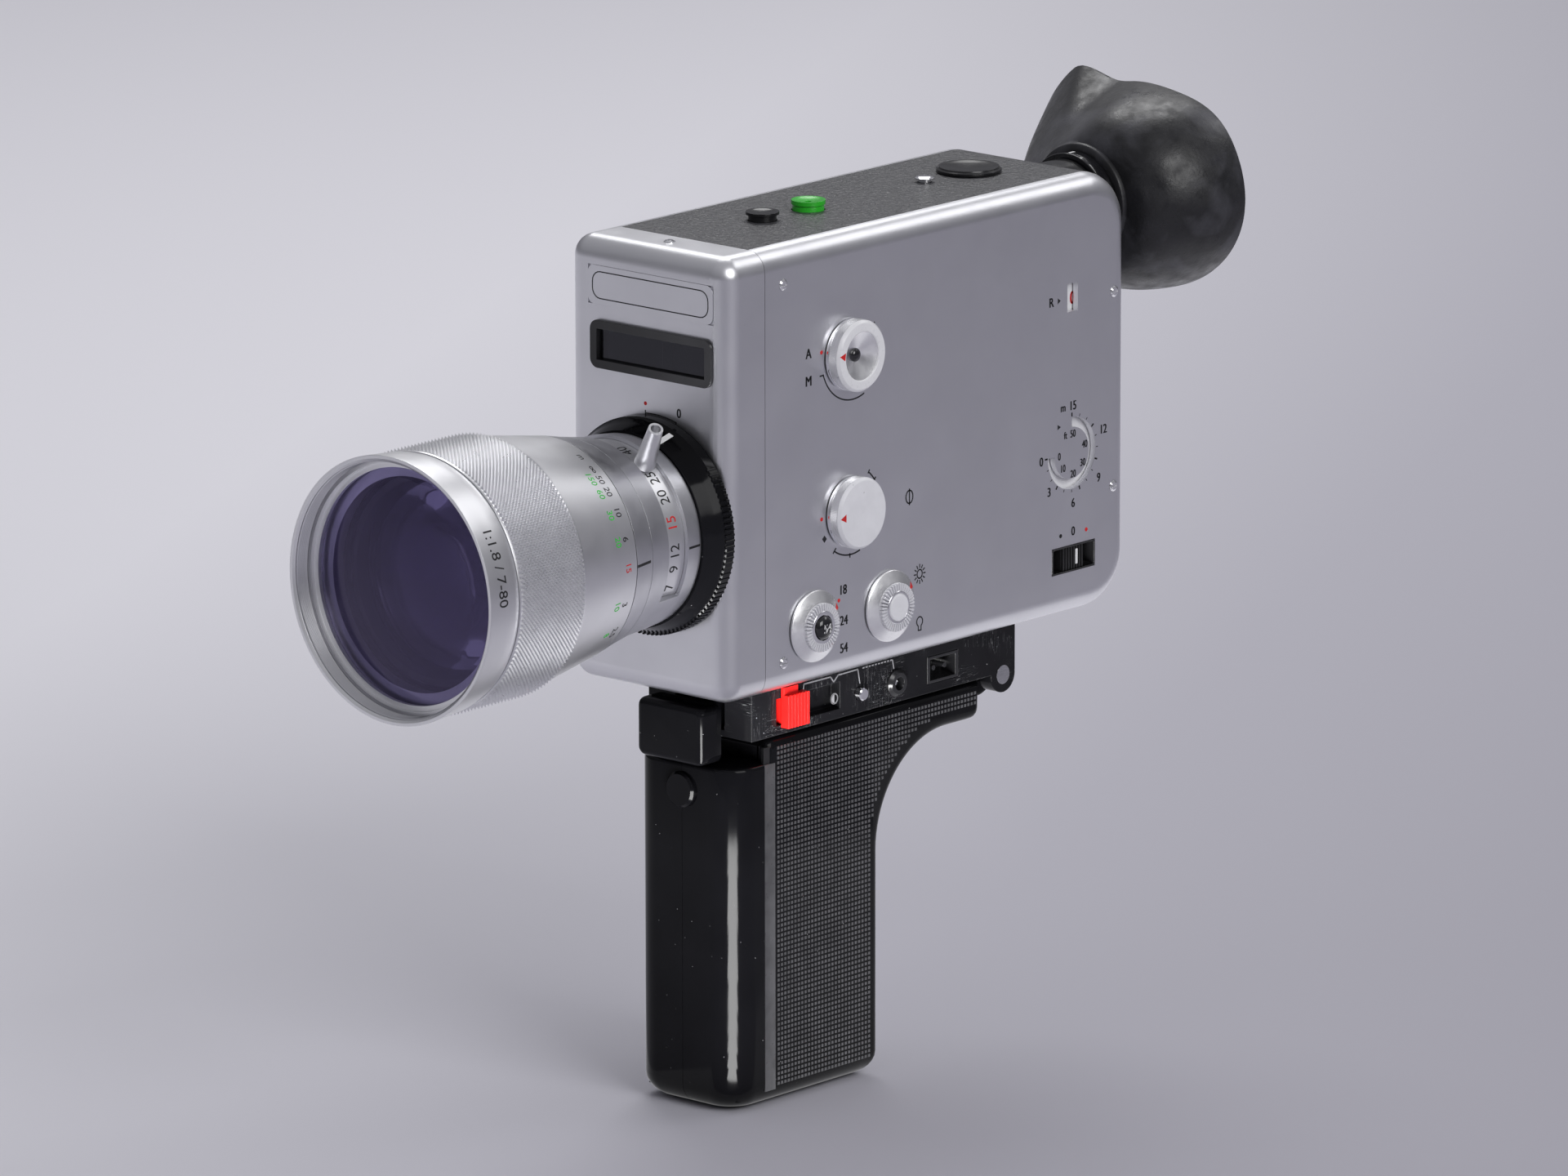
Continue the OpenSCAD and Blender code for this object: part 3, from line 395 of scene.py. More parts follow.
def plate(axis, outline, h0, h1, r=0.0, steps=2):
    """Prism over a flat outline, its top edge rounded by r."""
    o = np.array(outline, float)
    n = len(o)
    area = 0.5 * np.sum(o[:, 0] * np.roll(o[:, 1], -1) - np.roll(o[:, 0], -1) * o[:, 1])
    if area < 0:
        o = o[::-1]
    prev, nxt = np.roll(o, 1, 0), np.roll(o, -1, 0)
    t1, t2 = o - prev, nxt - o
    t1 /= np.linalg.norm(t1, axis=1)[:, None] + 1e-12
    t2 /= np.linalg.norm(t2, axis=1)[:, None] + 1e-12
    n1, n2 = np.c_[-t1[:, 1], t1[:, 0]], np.c_[-t2[:, 1], t2[:, 0]]
    m = n1 + n2
    m /= np.maximum(np.sum(m * n1, axis=1), 0.3)[:, None]
    rings = [(0.0, h0)]
    if r:
        for k in range(steps + 1):
            b = math.pi / 2 * k / steps
            rings.append((r * (1 - math.cos(b)), h1 - r + r * math.sin(b)))
    else:
        rings.append((0.0, h1))
    v = np.vstack([axis.flat(*(o + m * ins).T, np.full(n, h)) for ins, h in rings])
    faces = grid_faces(len(rings), n)
    faces += [list(range(n))[::-1], list(range((len(rings) - 1) * n, len(rings) * n))]
    return v, faces


def rounded(x0, y0, x1, y1, r, steps=6):
    """Outline of a rectangle with rounded corners."""
    pts = []
    for cx, cy, a in ((x1 - r, y1 - r, 0), (x0 + r, y1 - r, 90), (x0 + r, y0 + r, 180), (x1 - r, y0 + r, 270)):
        pts += arc(cx, cy, r, a, a + 90, steps)
    return pts


def ellipse(cx, cy, rx, ry, angles):
    return [(cx + rx * math.cos(math.radians(a)), cy + ry * math.sin(math.radians(a))) for a in angles]


def arc(cx, cy, r, a0, a1, n=12):
    return ellipse(cx, cy, r, r, [a0 + (a1 - a0) * k / n for k in range(n + 1)])


def stroke(points, width):
    """Outline of a line of the given width through flat points."""
    p = np.array(points, float)
    t = np.gradient(p, axis=0) if len(p) > 2 else np.repeat(p[1:] - p[:1], 2, 0)
    n = np.c_[-t[:, 1], t[:, 0]]
    n /= np.linalg.norm(n, axis=1)[:, None]
    return np.vstack([p + n * width / 2, (p - n * width / 2)[::-1]])


# Height of printed marks over their surface, and the sideways shift that thickens letters
INK_H = 0.03
BOLD = 0.045


def strokes(name, axis, lines, width, mat, body="camera"):
    parts = []
    for line in lines:
        line = [np.array(q, float) for q in line]
        for a, b in zip(line, line[1:]):
            d = (b - a) / (np.linalg.norm(b - a) + 1e-9) * width * 0.3
            parts.append(plate(axis, stroke([a - d, b + d], width * 1.35), -0.05, INK_H))
    return add(name, *join(parts), mat, body, fix=False)


def filled(name, axis, outlines, mat, body="camera"):
    return add(name, *join([plate(axis, o, -0.05, INK_H) for o in outlines]), mat, body, fix=False)


_glyphs = {}


def glyphs(text):
    """Flat mesh of a string in the built-in font, one unit high and centred."""
    if text not in _glyphs:
        c = bpy.data.curves.new("glyph", "FONT")
        c.body = text
        c.align_x, c.align_y = "CENTER", "CENTER"
        c.resolution_u = 3
        c.extrude = 0.5
        o = bpy.data.objects.new("glyph", c)
        scene.collection.objects.link(o)
        bpy.context.view_layer.update()
        me = bpy.data.meshes.new_from_object(o.evaluated_get(bpy.context.evaluated_depsgraph_get()))
        v = np.array([x.co for x in me.vertices], float)
        f = [list(p.vertices) for p in me.polygons]
        bpy.data.objects.remove(o)
        bpy.data.meshes.remove(me)
        mid = (v.min(0) + v.max(0)) / 2
        v[:, :2] -= mid[:2]
        _glyphs[text] = (v / np.array([0.7, 0.7, 1.0]), f)
    return _glyphs[text]


def labels(name, axis, items, mat, body="camera", squeeze=0.85):
    """Flat labels: (text, x, y, height)."""
    parts = []
    for text, x, y, size in items:
        v, f = glyphs(text)
        h = np.where(v[:, 2] > 0, INK_H, -0.05)
        for bold in (-BOLD, BOLD):
            parts.append((axis.flat(x + (v[:, 0] * squeeze + bold) * size, y + v[:, 1] * size, h), f))
    return add(name, *join(parts), mat, body, fix=False)


def round_labels(name, axis, surface, items, mat, body, turn=0.0, squeeze=0.9):
    """Labels wrapped round an axis: (text, angle, distance, height). surface gives the radius at a
    distance, and turn 0 stands the text's up along the axis."""
    parts = []
    for text, phi, d, size in items:
        v, f = glyphs(text)
        a = math.radians(turn)
        px, py = v[:, 0] * size * squeeze, v[:, 1] * size
        x, y = px * math.cos(a) - py * math.sin(a), px * math.sin(a) + py * math.cos(a)
        dd = d + y
        r = np.array([surface(q) for q in dd])
        ang = math.radians(phi) + x / r
        parts.append((axis.at(r + np.where(v[:, 2] > 0, INK_H, -0.12), ang, dd), f))
    return add(name, *join(parts), mat, body, fix=False)


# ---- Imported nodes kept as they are: smooth edges and materials ----

FINISH = {
    SATIN: ["front_housing", "right_cover", "left_cover", "film_door", "name_plate"],
    INNER: ["body_frame", "film_chamber", "drive_motor"],
    LEATHER: ["leather_strip"],
    CHROME: ["cover_screws", "release_pin", "test_button"],
    BLACK: ["window_frame", "lens_tube", "eyepiece_tube", "remote_jack", "switch_frame", "remote_socket"],
    WINDOW_GLASS: ["window_glass"],
    LENS_GLASS: ["front_lens", "inner_lenses", "finder_optics"],
    STEEL: ["film_gate", "shutter_disc", "tripod_bush", "grip_pin"],
    BOARD: ["circuit_board"],
    MATT: ["takeup_spindle", "door_latch", "switch_slider", "battery_holder"],
    BARREL: ["zoom_ring", "zoom_lever", "focus_barrel", "front_ring"],
    BAND: ["lens_sleeve", "index_ring"],
    GLOSS: ["trigger", "grip_shell", "battery_cover", "grip_button", "lock_ring"],
    BASE_BLACK: ["base_block"],
    GREEN: ["fade_button"],
    DISC: ["counter_disc", "indicator_wheel"],
    CELL: ["battery_cells"],
    CHECK: ["grip_panel", "cover_panel"],
    RED: ["lock_slider"],
    RUBBER: ["eyecup"],
}
KEPT = {n: m for m, ns in FINISH.items() for n in ns}
for n, obj in NODES.items():
    me = obj.data
    me.polygons.foreach_set("use_smooth", [True] * len(me.polygons))
    me.materials.clear()
    me.materials.append(KEPT.get(n, BLACK))
    weld = obj.modifiers.new("weld", "WELD")
    weld.merge_threshold = 5e-6
    split = obj.modifiers.new("split", "EDGE_SPLIT")
    split.split_angle = math.radians(30)
    wn = obj.modifiers.new("normals", "WEIGHTED_NORMAL")
    wn.weight = 60

# ---- Side knobs and dials ----


def turned(name, axis, profile, mat, body, r=0.1, seg=160, angle=40.0, replaces=()):
    """Closed turned shape with its corners rounded by r."""
    p = fillet(profile, r)
    return add(name, *lathe(axis, [*p, p[0]], seg), mat, body, angle, replaces)


def triangle(x, y, size, turn):
    """Arrowhead that points to -x, turned by some degrees."""
    a = math.radians(turn)
    pts = [(-size * 0.62, 0), (size * 0.5, size * 0.55), (size * 0.5, -size * 0.55)]
    return [(x + p * math.cos(a) - q * math.sin(a), y + p * math.sin(a) + q * math.cos(a)) for p, q in pts]


KNOB_R = 9.3


def knob(prefix, axis, body, height, node, hollow):
    """Knob with a polished foot, a knurled band and a white face; the upper one has a concave cone."""
    turned(prefix + "_foot", axis, [(0, -3), (3, -3), (3, 0.25), (KNOB_R - 0.3, 0.25), (KNOB_R - 0.05, 0.5),
                                    (KNOB_R - 0.05, 1.45), (0, 1.45)], CHROME, body, 0.12, replaces=(node,))
    band0, band1 = 1.4, height - 0.95
    add(prefix + "_knurl", *knurl(axis, KNOB_R - 0.22, 0.22, band0, band1, 13, 190), KNURL, body, angle=8)
    inner = 6.6 if hollow else 0
    turned(prefix + "_core", axis, [(inner, band0), (KNOB_R - 0.24, band0), (KNOB_R - 0.24, band1),
                                    (inner, band1)], KNURL, body, 0.02)
    rim = [(KNOB_R - 0.06, height - 1.05), (KNOB_R - 0.06, height - 0.75), (KNOB_R - 0.75, height)]
    if hollow:
        turned(prefix + "_face", axis, [(6.2, height - 1.05), *rim, (6.45, height), (6.2, height - 0.2)],
               WHITE, body, 0.12)
        turned(prefix + "_cone", axis, [(0, height - 2.6), (1.4, height - 2.5), (6.3, height - 0.35),
                                        (6.45, height - 0.12), (6.45, height - 1.4), (0, height - 3.0)],
               TURNED, body, 0.03)
        dome = ellipse(0, height - 2.55, 1.75, 0.95, range(0, 91, 15))
        add(prefix + "_centre", *lathe(axis, [*dome, (0, height - 2.7), (1.75, height - 2.7), dome[0]], 48),
            BLACK_GLOSS, body, 40)
    else:
        turned(prefix + "_face", axis, [(0, height - 1.05), *rim, (0, height)], WHITE_FACE, body, 0.15)
    pointer = triangle(-7.55, 1.0, 1.9, -8) if hollow else triangle(-7.55, -0.1, 1.9, 0)
    face = Axis(axis.o + np.array(axis.w) * height, axis.u, axis.v, axis.w)
    filled(prefix + "_pointer", face, [pointer], RED_INK, body)


knob("exposure_knob", EXPOSURE, "exposure_knob", 4.9, "exposure_knob", True)
knob("aperture_knob", APERTURE, "aperture_knob", 4.7, "aperture_knob", False)


def crown(name, axis, body, r0, r1, d0, d1):
    """Raised ring with 40 radial slots."""
    cols = 40 * 4
    a = np.arange(cols) * 2 * math.pi / cols
    low = np.arange(cols) % 4 == 3
    rows = [(r1, d0), (r1, d1 - 0.12), (r1 - 0.12, d1), (r0 + 0.1, d1), (r0, d1 - 0.1), (r0, d0)]
    v = [axis.at(r + 0 * a, a, np.where(low, d0, d)) for r, d in rows]
    f = grid_faces(len(rows), cols)
    # The black floor under the slots is painted shade in the slots.
    turned(name + "_floor", axis, [(r0 - 0.1, d0 - 0.1), (r1 - 0.05, d0 - 0.1), (r1 - 0.05, d0 + 0.12),
                                   (r0 - 0.1, d0 + 0.12)], MATT, body, 0.02)
    return add(name, np.vstack(v), f, SILVER, body, angle=20)


def dial(name, axis):
    """Turned cone with a slotted crown."""
    turned(name + "_cone", axis, [(0, -2), (3, -2), (3, 0.2), (9.0, 0.2), (9.3, 0.35), (9.3, 0.75), (9.0, 0.95),
                                  (6.35, 2.35), (0, 2.35)], TURNED, name, 0.1, 192, replaces=(name,))
    crown(name + "_crown", axis, name, 4.35, 6.3, 2.3, 3.4)


dial("speed_dial", SPEED)
dial("filter_dial", FILTER)
turned("speed_dial_seat", SPEED, [(3.3, 2.3), (4.4, 2.3), (4.4, 3.2), (4.2, 3.45), (3.3, 3.45)], CHROME,
       "speed_dial", 0.08)
dome = [(3.15 * math.cos(math.radians(b)) ** 0.7, 2.9 + 1.9 * math.sin(math.radians(b)))
        for b in range(0, 91, 10)]
add("frame_button_cap", *lathe(SPEED, [*dome, (0, 2.4), (3.15, 2.4), dome[0]], 96), BLACK_GLOSS,
    "frame_button", 40, ("frame_button",))
turned("filter_dial_seat", FILTER, [(3.55, 2.3), (4.4, 2.3), (4.4, 3.25), (4.2, 3.5), (3.65, 3.5)], CHROME,
       "filter_dial", 0.08)
turned("filter_dial_centre", FILTER, [(0, 2.3), (3.6, 2.3), (3.6, 3.5), (3.3, 3.8), (0, 3.8)], WHITE_FACE,
       "filter_dial", 0.2)
labels("frame_button_number", Axis(SPEED.o + np.array([4.78, 0, 0]), Y, Z, X), [("54", 0, 0, 2.3)], WHITE_INK,
       "frame_button")


def cone_mark(name, axis, angle, body):
    """Red wedge on the sloping face of a dial."""
    a = math.radians(angle)
    corners = ((-0.09, 8.9, 1.03), (0.09, 8.9, 1.03), (0.03, 7.0, 2.03), (-0.03, 7.0, 2.03))
    pts = [axis.at(r, a + q, d + lift) for lift in (0.04, -0.08) for q, r, d in corners]
    add(name, np.vstack(pts), [[0, 1, 2, 3], [7, 6, 5, 4], *grid_faces(2, 4)], RED_INK, body)


cone_mark("speed_dial_mark", SPEED, 27, "speed_dial")
cone_mark("filter_dial_mark", FILTER, 29, "filter_dial")

# ---- Marks printed on the side ----

SIDE = side()


def disc(x, y, r):
    return arc(x, y, r, 0, 360, 20)[:-1]


strokes("exposure_scale", SIDE, [
    [(56.46, 90.39), (55.6, 89.61)],
    [(35.5, 79.84), (36.85, 79.91)], arc(48.0, 83.6, 11.8, 198, 292, 18)], 0.28, GREY_INK)
filled("exposure_dot", SIDE, [disc(36.11, 85.91, 0.52)], RED_INK)
labels("exposure_modes", SIDE, [("A", 31.2, 86.4, 2.6), ("M", 31.2, 79.3, 2.6)], GREY_INK)
strokes("aperture_scale", SIDE, [
    arc(47.3, 42.9, 11.3, 236, 288, 12), [(41.6, 34.2), (40.55, 33.07)], [(46.95, 31.9), (46.99, 30.89)],
    arc(47.3, 42.9, 11.3, 52, 35, 6), [(54.0, 51.6), (54.5, 52.4)], [(56.3, 49.4), (56.9, 50.1)]],
        0.30, GREY_INK)
filled("aperture_diamond", SIDE, [[(36.3, 37.5), (37.2, 38.3), (38.1, 37.3), (37.2, 36.4)]], GREY_INK)
filled("aperture_dot", SIDE, [disc(36.14, 42.69, 0.52)], RED_INK)
strokes("film_plane_mark", SIDE, [[(70.0, 40.5), (70.0, 44.7)],
                                  ellipse(70.0, 42.6, 1.35, 1.7, range(0, 361, 20))], 0.28, GREY_INK)
labels("speed_numbers", SIDE, [("18", 44.58, 22.96, 2.5), ("24", 44.69, 14.94, 2.5)], GREY_INK)
labels("speed_number_red", SIDE, [("54", 44.69, 7.71, 2.5)], GREY_INK)
filled("speed_dot", SIDE, [disc(42.73, 20.4, 0.5)], RED_INK)
rays = [[ellipse(74.02, 21.71, r, 1.15 * r, [b])[0] for r in (1.45, 2.2)] for b in range(0, 360, 30)]
strokes("filter_sun", SIDE, [*rays, ellipse(74.02, 21.71, 1.0, 1.15, range(0, 361, 20))], 0.26, GREY_INK)
strokes("filter_lamp", SIDE, [ellipse(74.04, 9.2, 1.15, 1.25, range(-60, 241, 20)),
                              [(73.5, 8.0), (73.5, 6.9), (74.6, 6.9), (74.6, 8.0)]], 0.26, GREY_INK)
labels("reverse_letter", SIDE, [("R", 125.77, 84.04, 2.5)], GREY_INK)
filled("reverse_arrow", SIDE, [[(128.2, 84.75), (128.2, 83.2), (129.3, 84.0)]], GREY_INK)
filled("counter_arrow", SIDE, [[(128.3, 51.35), (128.3, 50.0), (129.6, 50.6)]], GREY_INK)
filled("switch_dot", SIDE, [disc(129.67, 21.68, 0.55)], INK)
filled("switch_dot_red", SIDE, [disc(139.92, 21.68, 0.55)], RED_INK)
labels("switch_zero", SIDE, [("0", 134.67, 22.21, 2.4)], INK)
labels("counter_metres", SIDE, [("0", 121.88, 42.67, 2.4), ("3", 125.0, 34.13, 2.4), ("6", 134.63, 29.72, 2.4),
                                ("9", 144.8, 34.69, 2.4), ("12", 146.8, 47.27, 2.4), ("15", 134.58, 55.54, 2.4),
                                ("m", 130.5, 55.2, 2.2)], GREY_INK)
labels("counter_feet", SIDE, [("0", 129.04, 42.84, 2.0), ("10", 130.63, 39.44, 2.0), ("20", 134.58, 37.45, 2.0),
                              ("30", 138.45, 39.83, 2.0), ("40", 139.15, 44.56, 2.0),
                              ("50", 134.46, 48.09, 2.0), ("ft", 131.5, 48.04, 1.9)], GREY_INK, squeeze=0.75)
for name, step, outer, width in (("counter_ticks", 18, 10.35, 0.16), ("counter_major_ticks", 54, 10.6, 0.34)):
    ticks = [[arc(134, 43, r, b, b, 1)[0] for r in (9.75, outer)] for b in range(-180, 91, step)]
    strokes(name, SIDE, ticks, width, GREY_INK)

# ---- Marks on the wheel and the switch, below the surface of the side ----

DISC_X = 24.9
labels("indicator_number", side(x=DISC_X), [("0", 136.5, 83.4, 3.4)], RED_INK, "indicator_wheel")


def boxes(axis, spans):
    """Rounded blocks on an axis: (x0, y0, x1, y1, h0, h1)."""
    return join([plate(axis, rounded(x0, y0, x1, y1, 0.12, 3), h0, h1, 0.12)
                 for x0, y0, x1, y1, h0, h1 in spans])


TRAY = side(134.8, 15.1, 0)
slider = [(-4, -3.05, 4, 3.05, 23.1, 26.1),
          *((x, -3.05, x + 0.62, 3.05, 26.0, 26.8) for x in np.arange(-3.9, 3.5, 1.05))]
add("switch_slider_ribs", *boxes(TRAY, slider), MATT, "switch_slider", 40, ("switch_slider",))
filled("switch_slider_mark", side(x=26.8), [rounded(135.85, 13.2, 136.7, 17.2, 0.2, 3)], WHITE_INK,
       "switch_slider")

# ---- Lens ----

GRIP_D0, GRIP_D1 = 61.4, 85.5
add("focus_grip_knurl", *knurl(LENS, 33.05, 0.78, GRIP_D0 + 0.5, GRIP_D1 - 0.4, 39, 340), KNURL, "focus",
    angle=8, replaces=("focus_grip",))
sleeve = [(31.65, GRIP_D1), (33.0, GRIP_D1), (33.1, GRIP_D1 - 0.4), (33.0, GRIP_D1 - 0.6),
          (33.0, GRIP_D0 + 0.6), (33.1, GRIP_D0 + 0.5), (33.0, GRIP_D0), (31.65, GRIP_D0), (31.65, GRIP_D1)]
add("focus_grip_sleeve", *lathe(LENS, sleeve, 160), KNURL, "focus")
thread = [(32.2 + 0.3 * (k % 2), 92.7 + 0.24 * k) for k in range(16)]
turned("filter_thread_ring", LENS, [(32.58, 92.7), *thread, (32.58, 96.4)], BAND, "focus", 0.02, 256, 20)
steps = [(30.6 - 0.85 * k - dr, d - 2.4 * k) for k in range(9) for dr, d in ((0, 85.2), (0.25, 83.6))]
add("lens_baffle", *lathe(LENS, [*steps, (25.0, 63.0), (31.2, 63.0), (31.2, 85.2), steps[0]], 192), MATT,
    "focus", 25)
round_labels("front_band_numbers", LENS, lambda d: 33.3 + (d - 87.6) * 0.7 / 9.0,
             [("1:1.8 / 7-80", 17, 92.1, 3.3)], INK, "focus", turn=180, squeeze=0.95)


def lens_text(name, surface, items, d, size, mat, body, turn=0.0):
    """Texts (text, angle) in one row round the lens."""
    round_labels(name, LENS, surface, [(t, phi, d, size) for t, phi in items], mat, body, turn)


# Radius of each scale's surface at a distance along the lens


def ring_r(_):
    return 24.24


def barrel_r(d):
    return 28.9 + (d - 38.3) * 3.9 / 23


lens_text("zoom_numbers", ring_r, [("7", -23.6), ("9", -11.4), ("12", 0.1), ("20", 32.9), ("25", 46.2),
                                   ("40", 72.2), ("80", 100)], 19, 3.2, INK, "zoom")
lens_text("zoom_number_red", ring_r, [("15", 17.1)], 19, 3.2, RED_INK, "zoom")
lens_text("focus_metres", barrel_r, [("∞", 53.7), ("50", 46.9), ("20", 39.8), ("10", 28.3), ("6", 15.1),
                                     ("3", -17.9), ("2.5", -34.6), ("m", 63)], 42, 2.2, INK, "focus", 180)
lens_text("focus_metres_red", barrel_r, [("15", 0.7)], 42, 2.2, RED_INK, "focus", 180)
lens_text("focus_feet", barrel_r, [("150", 47.5), ("60", 38.9), ("30", 27.8), ("20", 14.6), ("10", -17.6),
                                   ("8", -34.0)], 45.4, 2.2, GREEN_INK, "focus", 180)


def lens_line(name, surface, phi, d0, d1, width, mat, body="camera"):
    """Printed line along the lens at the angle phi."""
    n = 6
    d = np.linspace(d0, d1, n)
    r = np.array([surface(q) for q in d])
    half = width / 2 / r
    rows = [LENS.at(r + h, math.radians(phi) + s * half, d)
            for s, h in ((-1, -0.1), (-1, INK_H), (1, INK_H), (1, -0.1))]
    v = np.vstack(rows)
    f = [[i * n + j, i * n + j + 1, ((i + 1) % 4) * n + j + 1, ((i + 1) % 4) * n + j] for i in range(4)
         for j in range(n - 1)]
    f += [[0, n, 2 * n, 3 * n], [4 * n - 1, 3 * n - 1, 2 * n - 1, n - 1]]
    add(name, v, f, mat, body)


def index_r(d):
    return 27.2 + (d - 30.5) * 1.65 / 7.5


def sleeve_r(d):
    return 24.7 + (d - 9.8) * 0.6 / 5.2


lens_line("focus_index", index_r, 0, 31.5, 37.9, 0.7, INK)
lens_line("zoom_index", sleeve_r, 0, 10.2, 14.8, 0.6, INK)

# Ribs round the lock ring, with a smooth stretch on top
ribs = []
for k in range(120):
    phi = -180 + 3 * k
    if 40 < phi < 140:
        continue
    a = np.radians([phi - 0.8, phi - 0.35, phi + 0.35, phi + 0.8])
    rr = np.array([27.85, 28.12, 28.12, 27.85])
    v = np.vstack([LENS.at(rr, a, np.full(4, 0.8)), LENS.at(rr, a, np.full(4, 4.2))])
    ribs.append((v, [[0, 1, 5, 4], [1, 2, 6, 5], [2, 3, 7, 6], [3, 2, 1, 0], [4, 5, 6, 7]]))
add("lock_ring_ribs", *join(ribs), GLOSS, "lock_ring", 20)
lens_line("lock_ring_mark", lambda d: 27.2 + (4.4 - d) * 1.9 / 5.1, 68, 4.6, 8.8, 1.6, WHITE_INK, "lock_ring")

# ---- Eyecup: an oval bowl with a wing on its far upper side ----

CUP_A, CUP_B, CUP_D, WING = 33.4, 27.0, 39.0, 137.0


def swell(a, at, before, after):
    return np.exp(-((a - at) / np.where(a < at, before, after)) ** 2)


def cup_surface(a, t, neck, inset):
    r = CUP_A * CUP_B / np.hypot(CUP_B * np.cos(np.radians(a)), CUP_A * np.sin(np.radians(a)))
    r += 9.4 * swell(a, WING, 13, 58) + 1.8 * swell(a, 42, 22, 22)
    d = CUP_D + 4.5 * swell(a, WING, 40, 40)
    k = 0.5 * swell(a, WING, 45, 45)
    s, c = np.sin(np.pi / 2 * t), 1 - np.cos(np.pi / 2 * t)
    return (neck[0] + (r - inset - neck[0]) * ((1 - k) * s + k * c),
            neck[1] + (d + k * inset - neck[1]) * ((1 - k) * c + k * s))


def eyecup():
    cols, steps = 192, 26
    a = np.arange(cols) * 360 / cols
    rows = [(r + 0 * a, d + 0 * a) for r, d in ((13.4, 11.2), (14.9, 11.2), (15.2, 11.5))]
    rows += [cup_surface(a, k / steps, (15.3, 12.6), 0.0) for k in range(steps + 1)]
    rim_r, rim_d = rows[-1]
    inner = [cup_surface(a, k / steps, (14.2, 14.4), 1.1) for k in range(steps, -1, -1)]
    mid_r, mid_d = (rim_r + inner[0][0]) / 2, (rim_d + inner[0][1]) / 2 + 0.35
    neck = ((13.6, 15.6), (13.6, 23), (11.2, 23), (11.2, 12), (12, 11.2), (13.4, 11.2))
    rows += [(mid_r, mid_d), *inner, *[(r + 0 * a, d + 0 * a) for r, d in neck]]
    v = np.vstack([EYE.at(r, np.radians(a), d) for r, d in rows])
    add("eyecup_rubber", v, grid_faces(len(rows), cols), RUBBER, "eyecup", 50, ("eyecup",))


eyecup()

diopter = [(10.9, 6.7), (13.2, 6.7), (13.35, 6.9), (13.35, 10.5), (13.2, 10.7), (10.9, 10.7)]
turned("diopter_ring_body", EYE, diopter, BLACK_GLOSS, "diopter_ring", 0.08, replaces=("diopter_ring",))
strokes("diopter_mark", Axis((0, 157 + 8.7, 100.3 + 13.36), X, Y, Z), [[(-0.2, -0.9), (-0.2, 0.9)]], 0.5,
        WHITE_INK, "diopter_ring")

# ---- Grip: two rounded shells, an arm and checkered panels ----

GRIP_FRONT, GRIP_REAR, GRIP_BOTTOM, COLUMN_TOP, GRIP_TOP = 13.0, 69.5, -111.0, -20.6, -14.6
ARM_Z, ARM_END, HOLLOW_R, FOOT_R, FRONT_R, REAR_R, SEAM_X = -24.5, 109.5, 27.5, 6.0, 8.6, 2.6, 0.06
ROOM = (17.0, 64.0, -108.7, -53.9, GRIP_X - 2.3)


def grip_half(name, sign, top_z, body, node):
    """One shell of the column: rounded outside, flat on the split plane, the battery room inside."""
    levels = [(FOOT_R * (1 - math.cos(b)), GRIP_BOTTOM + FOOT_R - FOOT_R * math.sin(b))
              for b in np.radians(np.linspace(90, 0, 8))]
    levels += [(0, -80), (0, -50), (0, top_z - 1.2)]
    levels += [(1.2 * (1 - math.cos(b)), top_z - 1.2 + 1.2 * math.sin(b)) for b in np.radians((30, 60, 90))]
    verts, faces, n = [], [], 0
    for inset, z in levels:
        y0, y1, x1 = GRIP_FRONT + inset, GRIP_REAR - inset, GRIP_X - inset
        front, rear = max(FRONT_R - inset * 0.5, 1), max(REAR_R - inset * 0.3, 0.6)
        ring = [(SEAM_X, y0), *arc(x1 - front, y0 + front, front, 270, 360, 12),
                *arc(x1 - rear, y1 - rear, rear, 0, 90, 6), (SEAM_X, y1)]
        n = len(ring)
        verts += [(x, y, z) for x, y in ring]
    rows = len(levels)
    faces += [[r * n + k, r * n + k + 1, (r + 1) * n + k + 1, (r + 1) * n + k] for r in range(rows - 1)
              for k in range(n - 1)]
    faces += [list(range(n))[::-1], list(range((rows - 1) * n, rows * n))]
    y0, y1, z0, z1, deep = ROOM
    m = len(verts)
    for _, z in levels:
        z = min(max(z, z0), z1)
        verts += [(SEAM_X, y0, z), (SEAM_X, y1, z), (deep, y0, z), (deep, y1, z)]
    for r in range(rows - 1):
        a, b = m + 4 * r, m + 4 * r + 4
        faces += [[r * n, (r + 1) * n, b, a], [r * n + n - 1, a + 1, b + 1, (r + 1) * n + n - 1]]
        if verts[a][2] < verts[b][2]:
            faces += [[a, b, b + 2, a + 2], [a + 1, a + 3, b + 3, b + 1], [a + 2, b + 2, b + 3, a + 3]]
    last = m + 4 * (rows - 1)
    faces += [[0, m, m + 1, n - 1], [(rows - 1) * n, rows * n - 1, last + 1, last]]
    faces += [[m, m + 2, m + 3, m + 1], [last, last + 1, last + 3, last + 2]]
    verts = [(sign * x, y, z) for x, y, z in verts]
    return add(name, verts, faces, GLOSS, body, 40, (node,))


def inside(poly, y, z):
    """Whether a flat point lies inside a closed outline."""
    hit = False
    for (y0, z0), (y1, z1) in zip(poly, np.roll(poly, -1, 0)):
        if (z0 > z) != (z1 > z) and y < (y1 - y0) * (z - z0) / (z1 - z0) + y0:
            hit = not hit
    return hit


MARGIN_Y, CHECK_PITCH = 29.2, 1.3


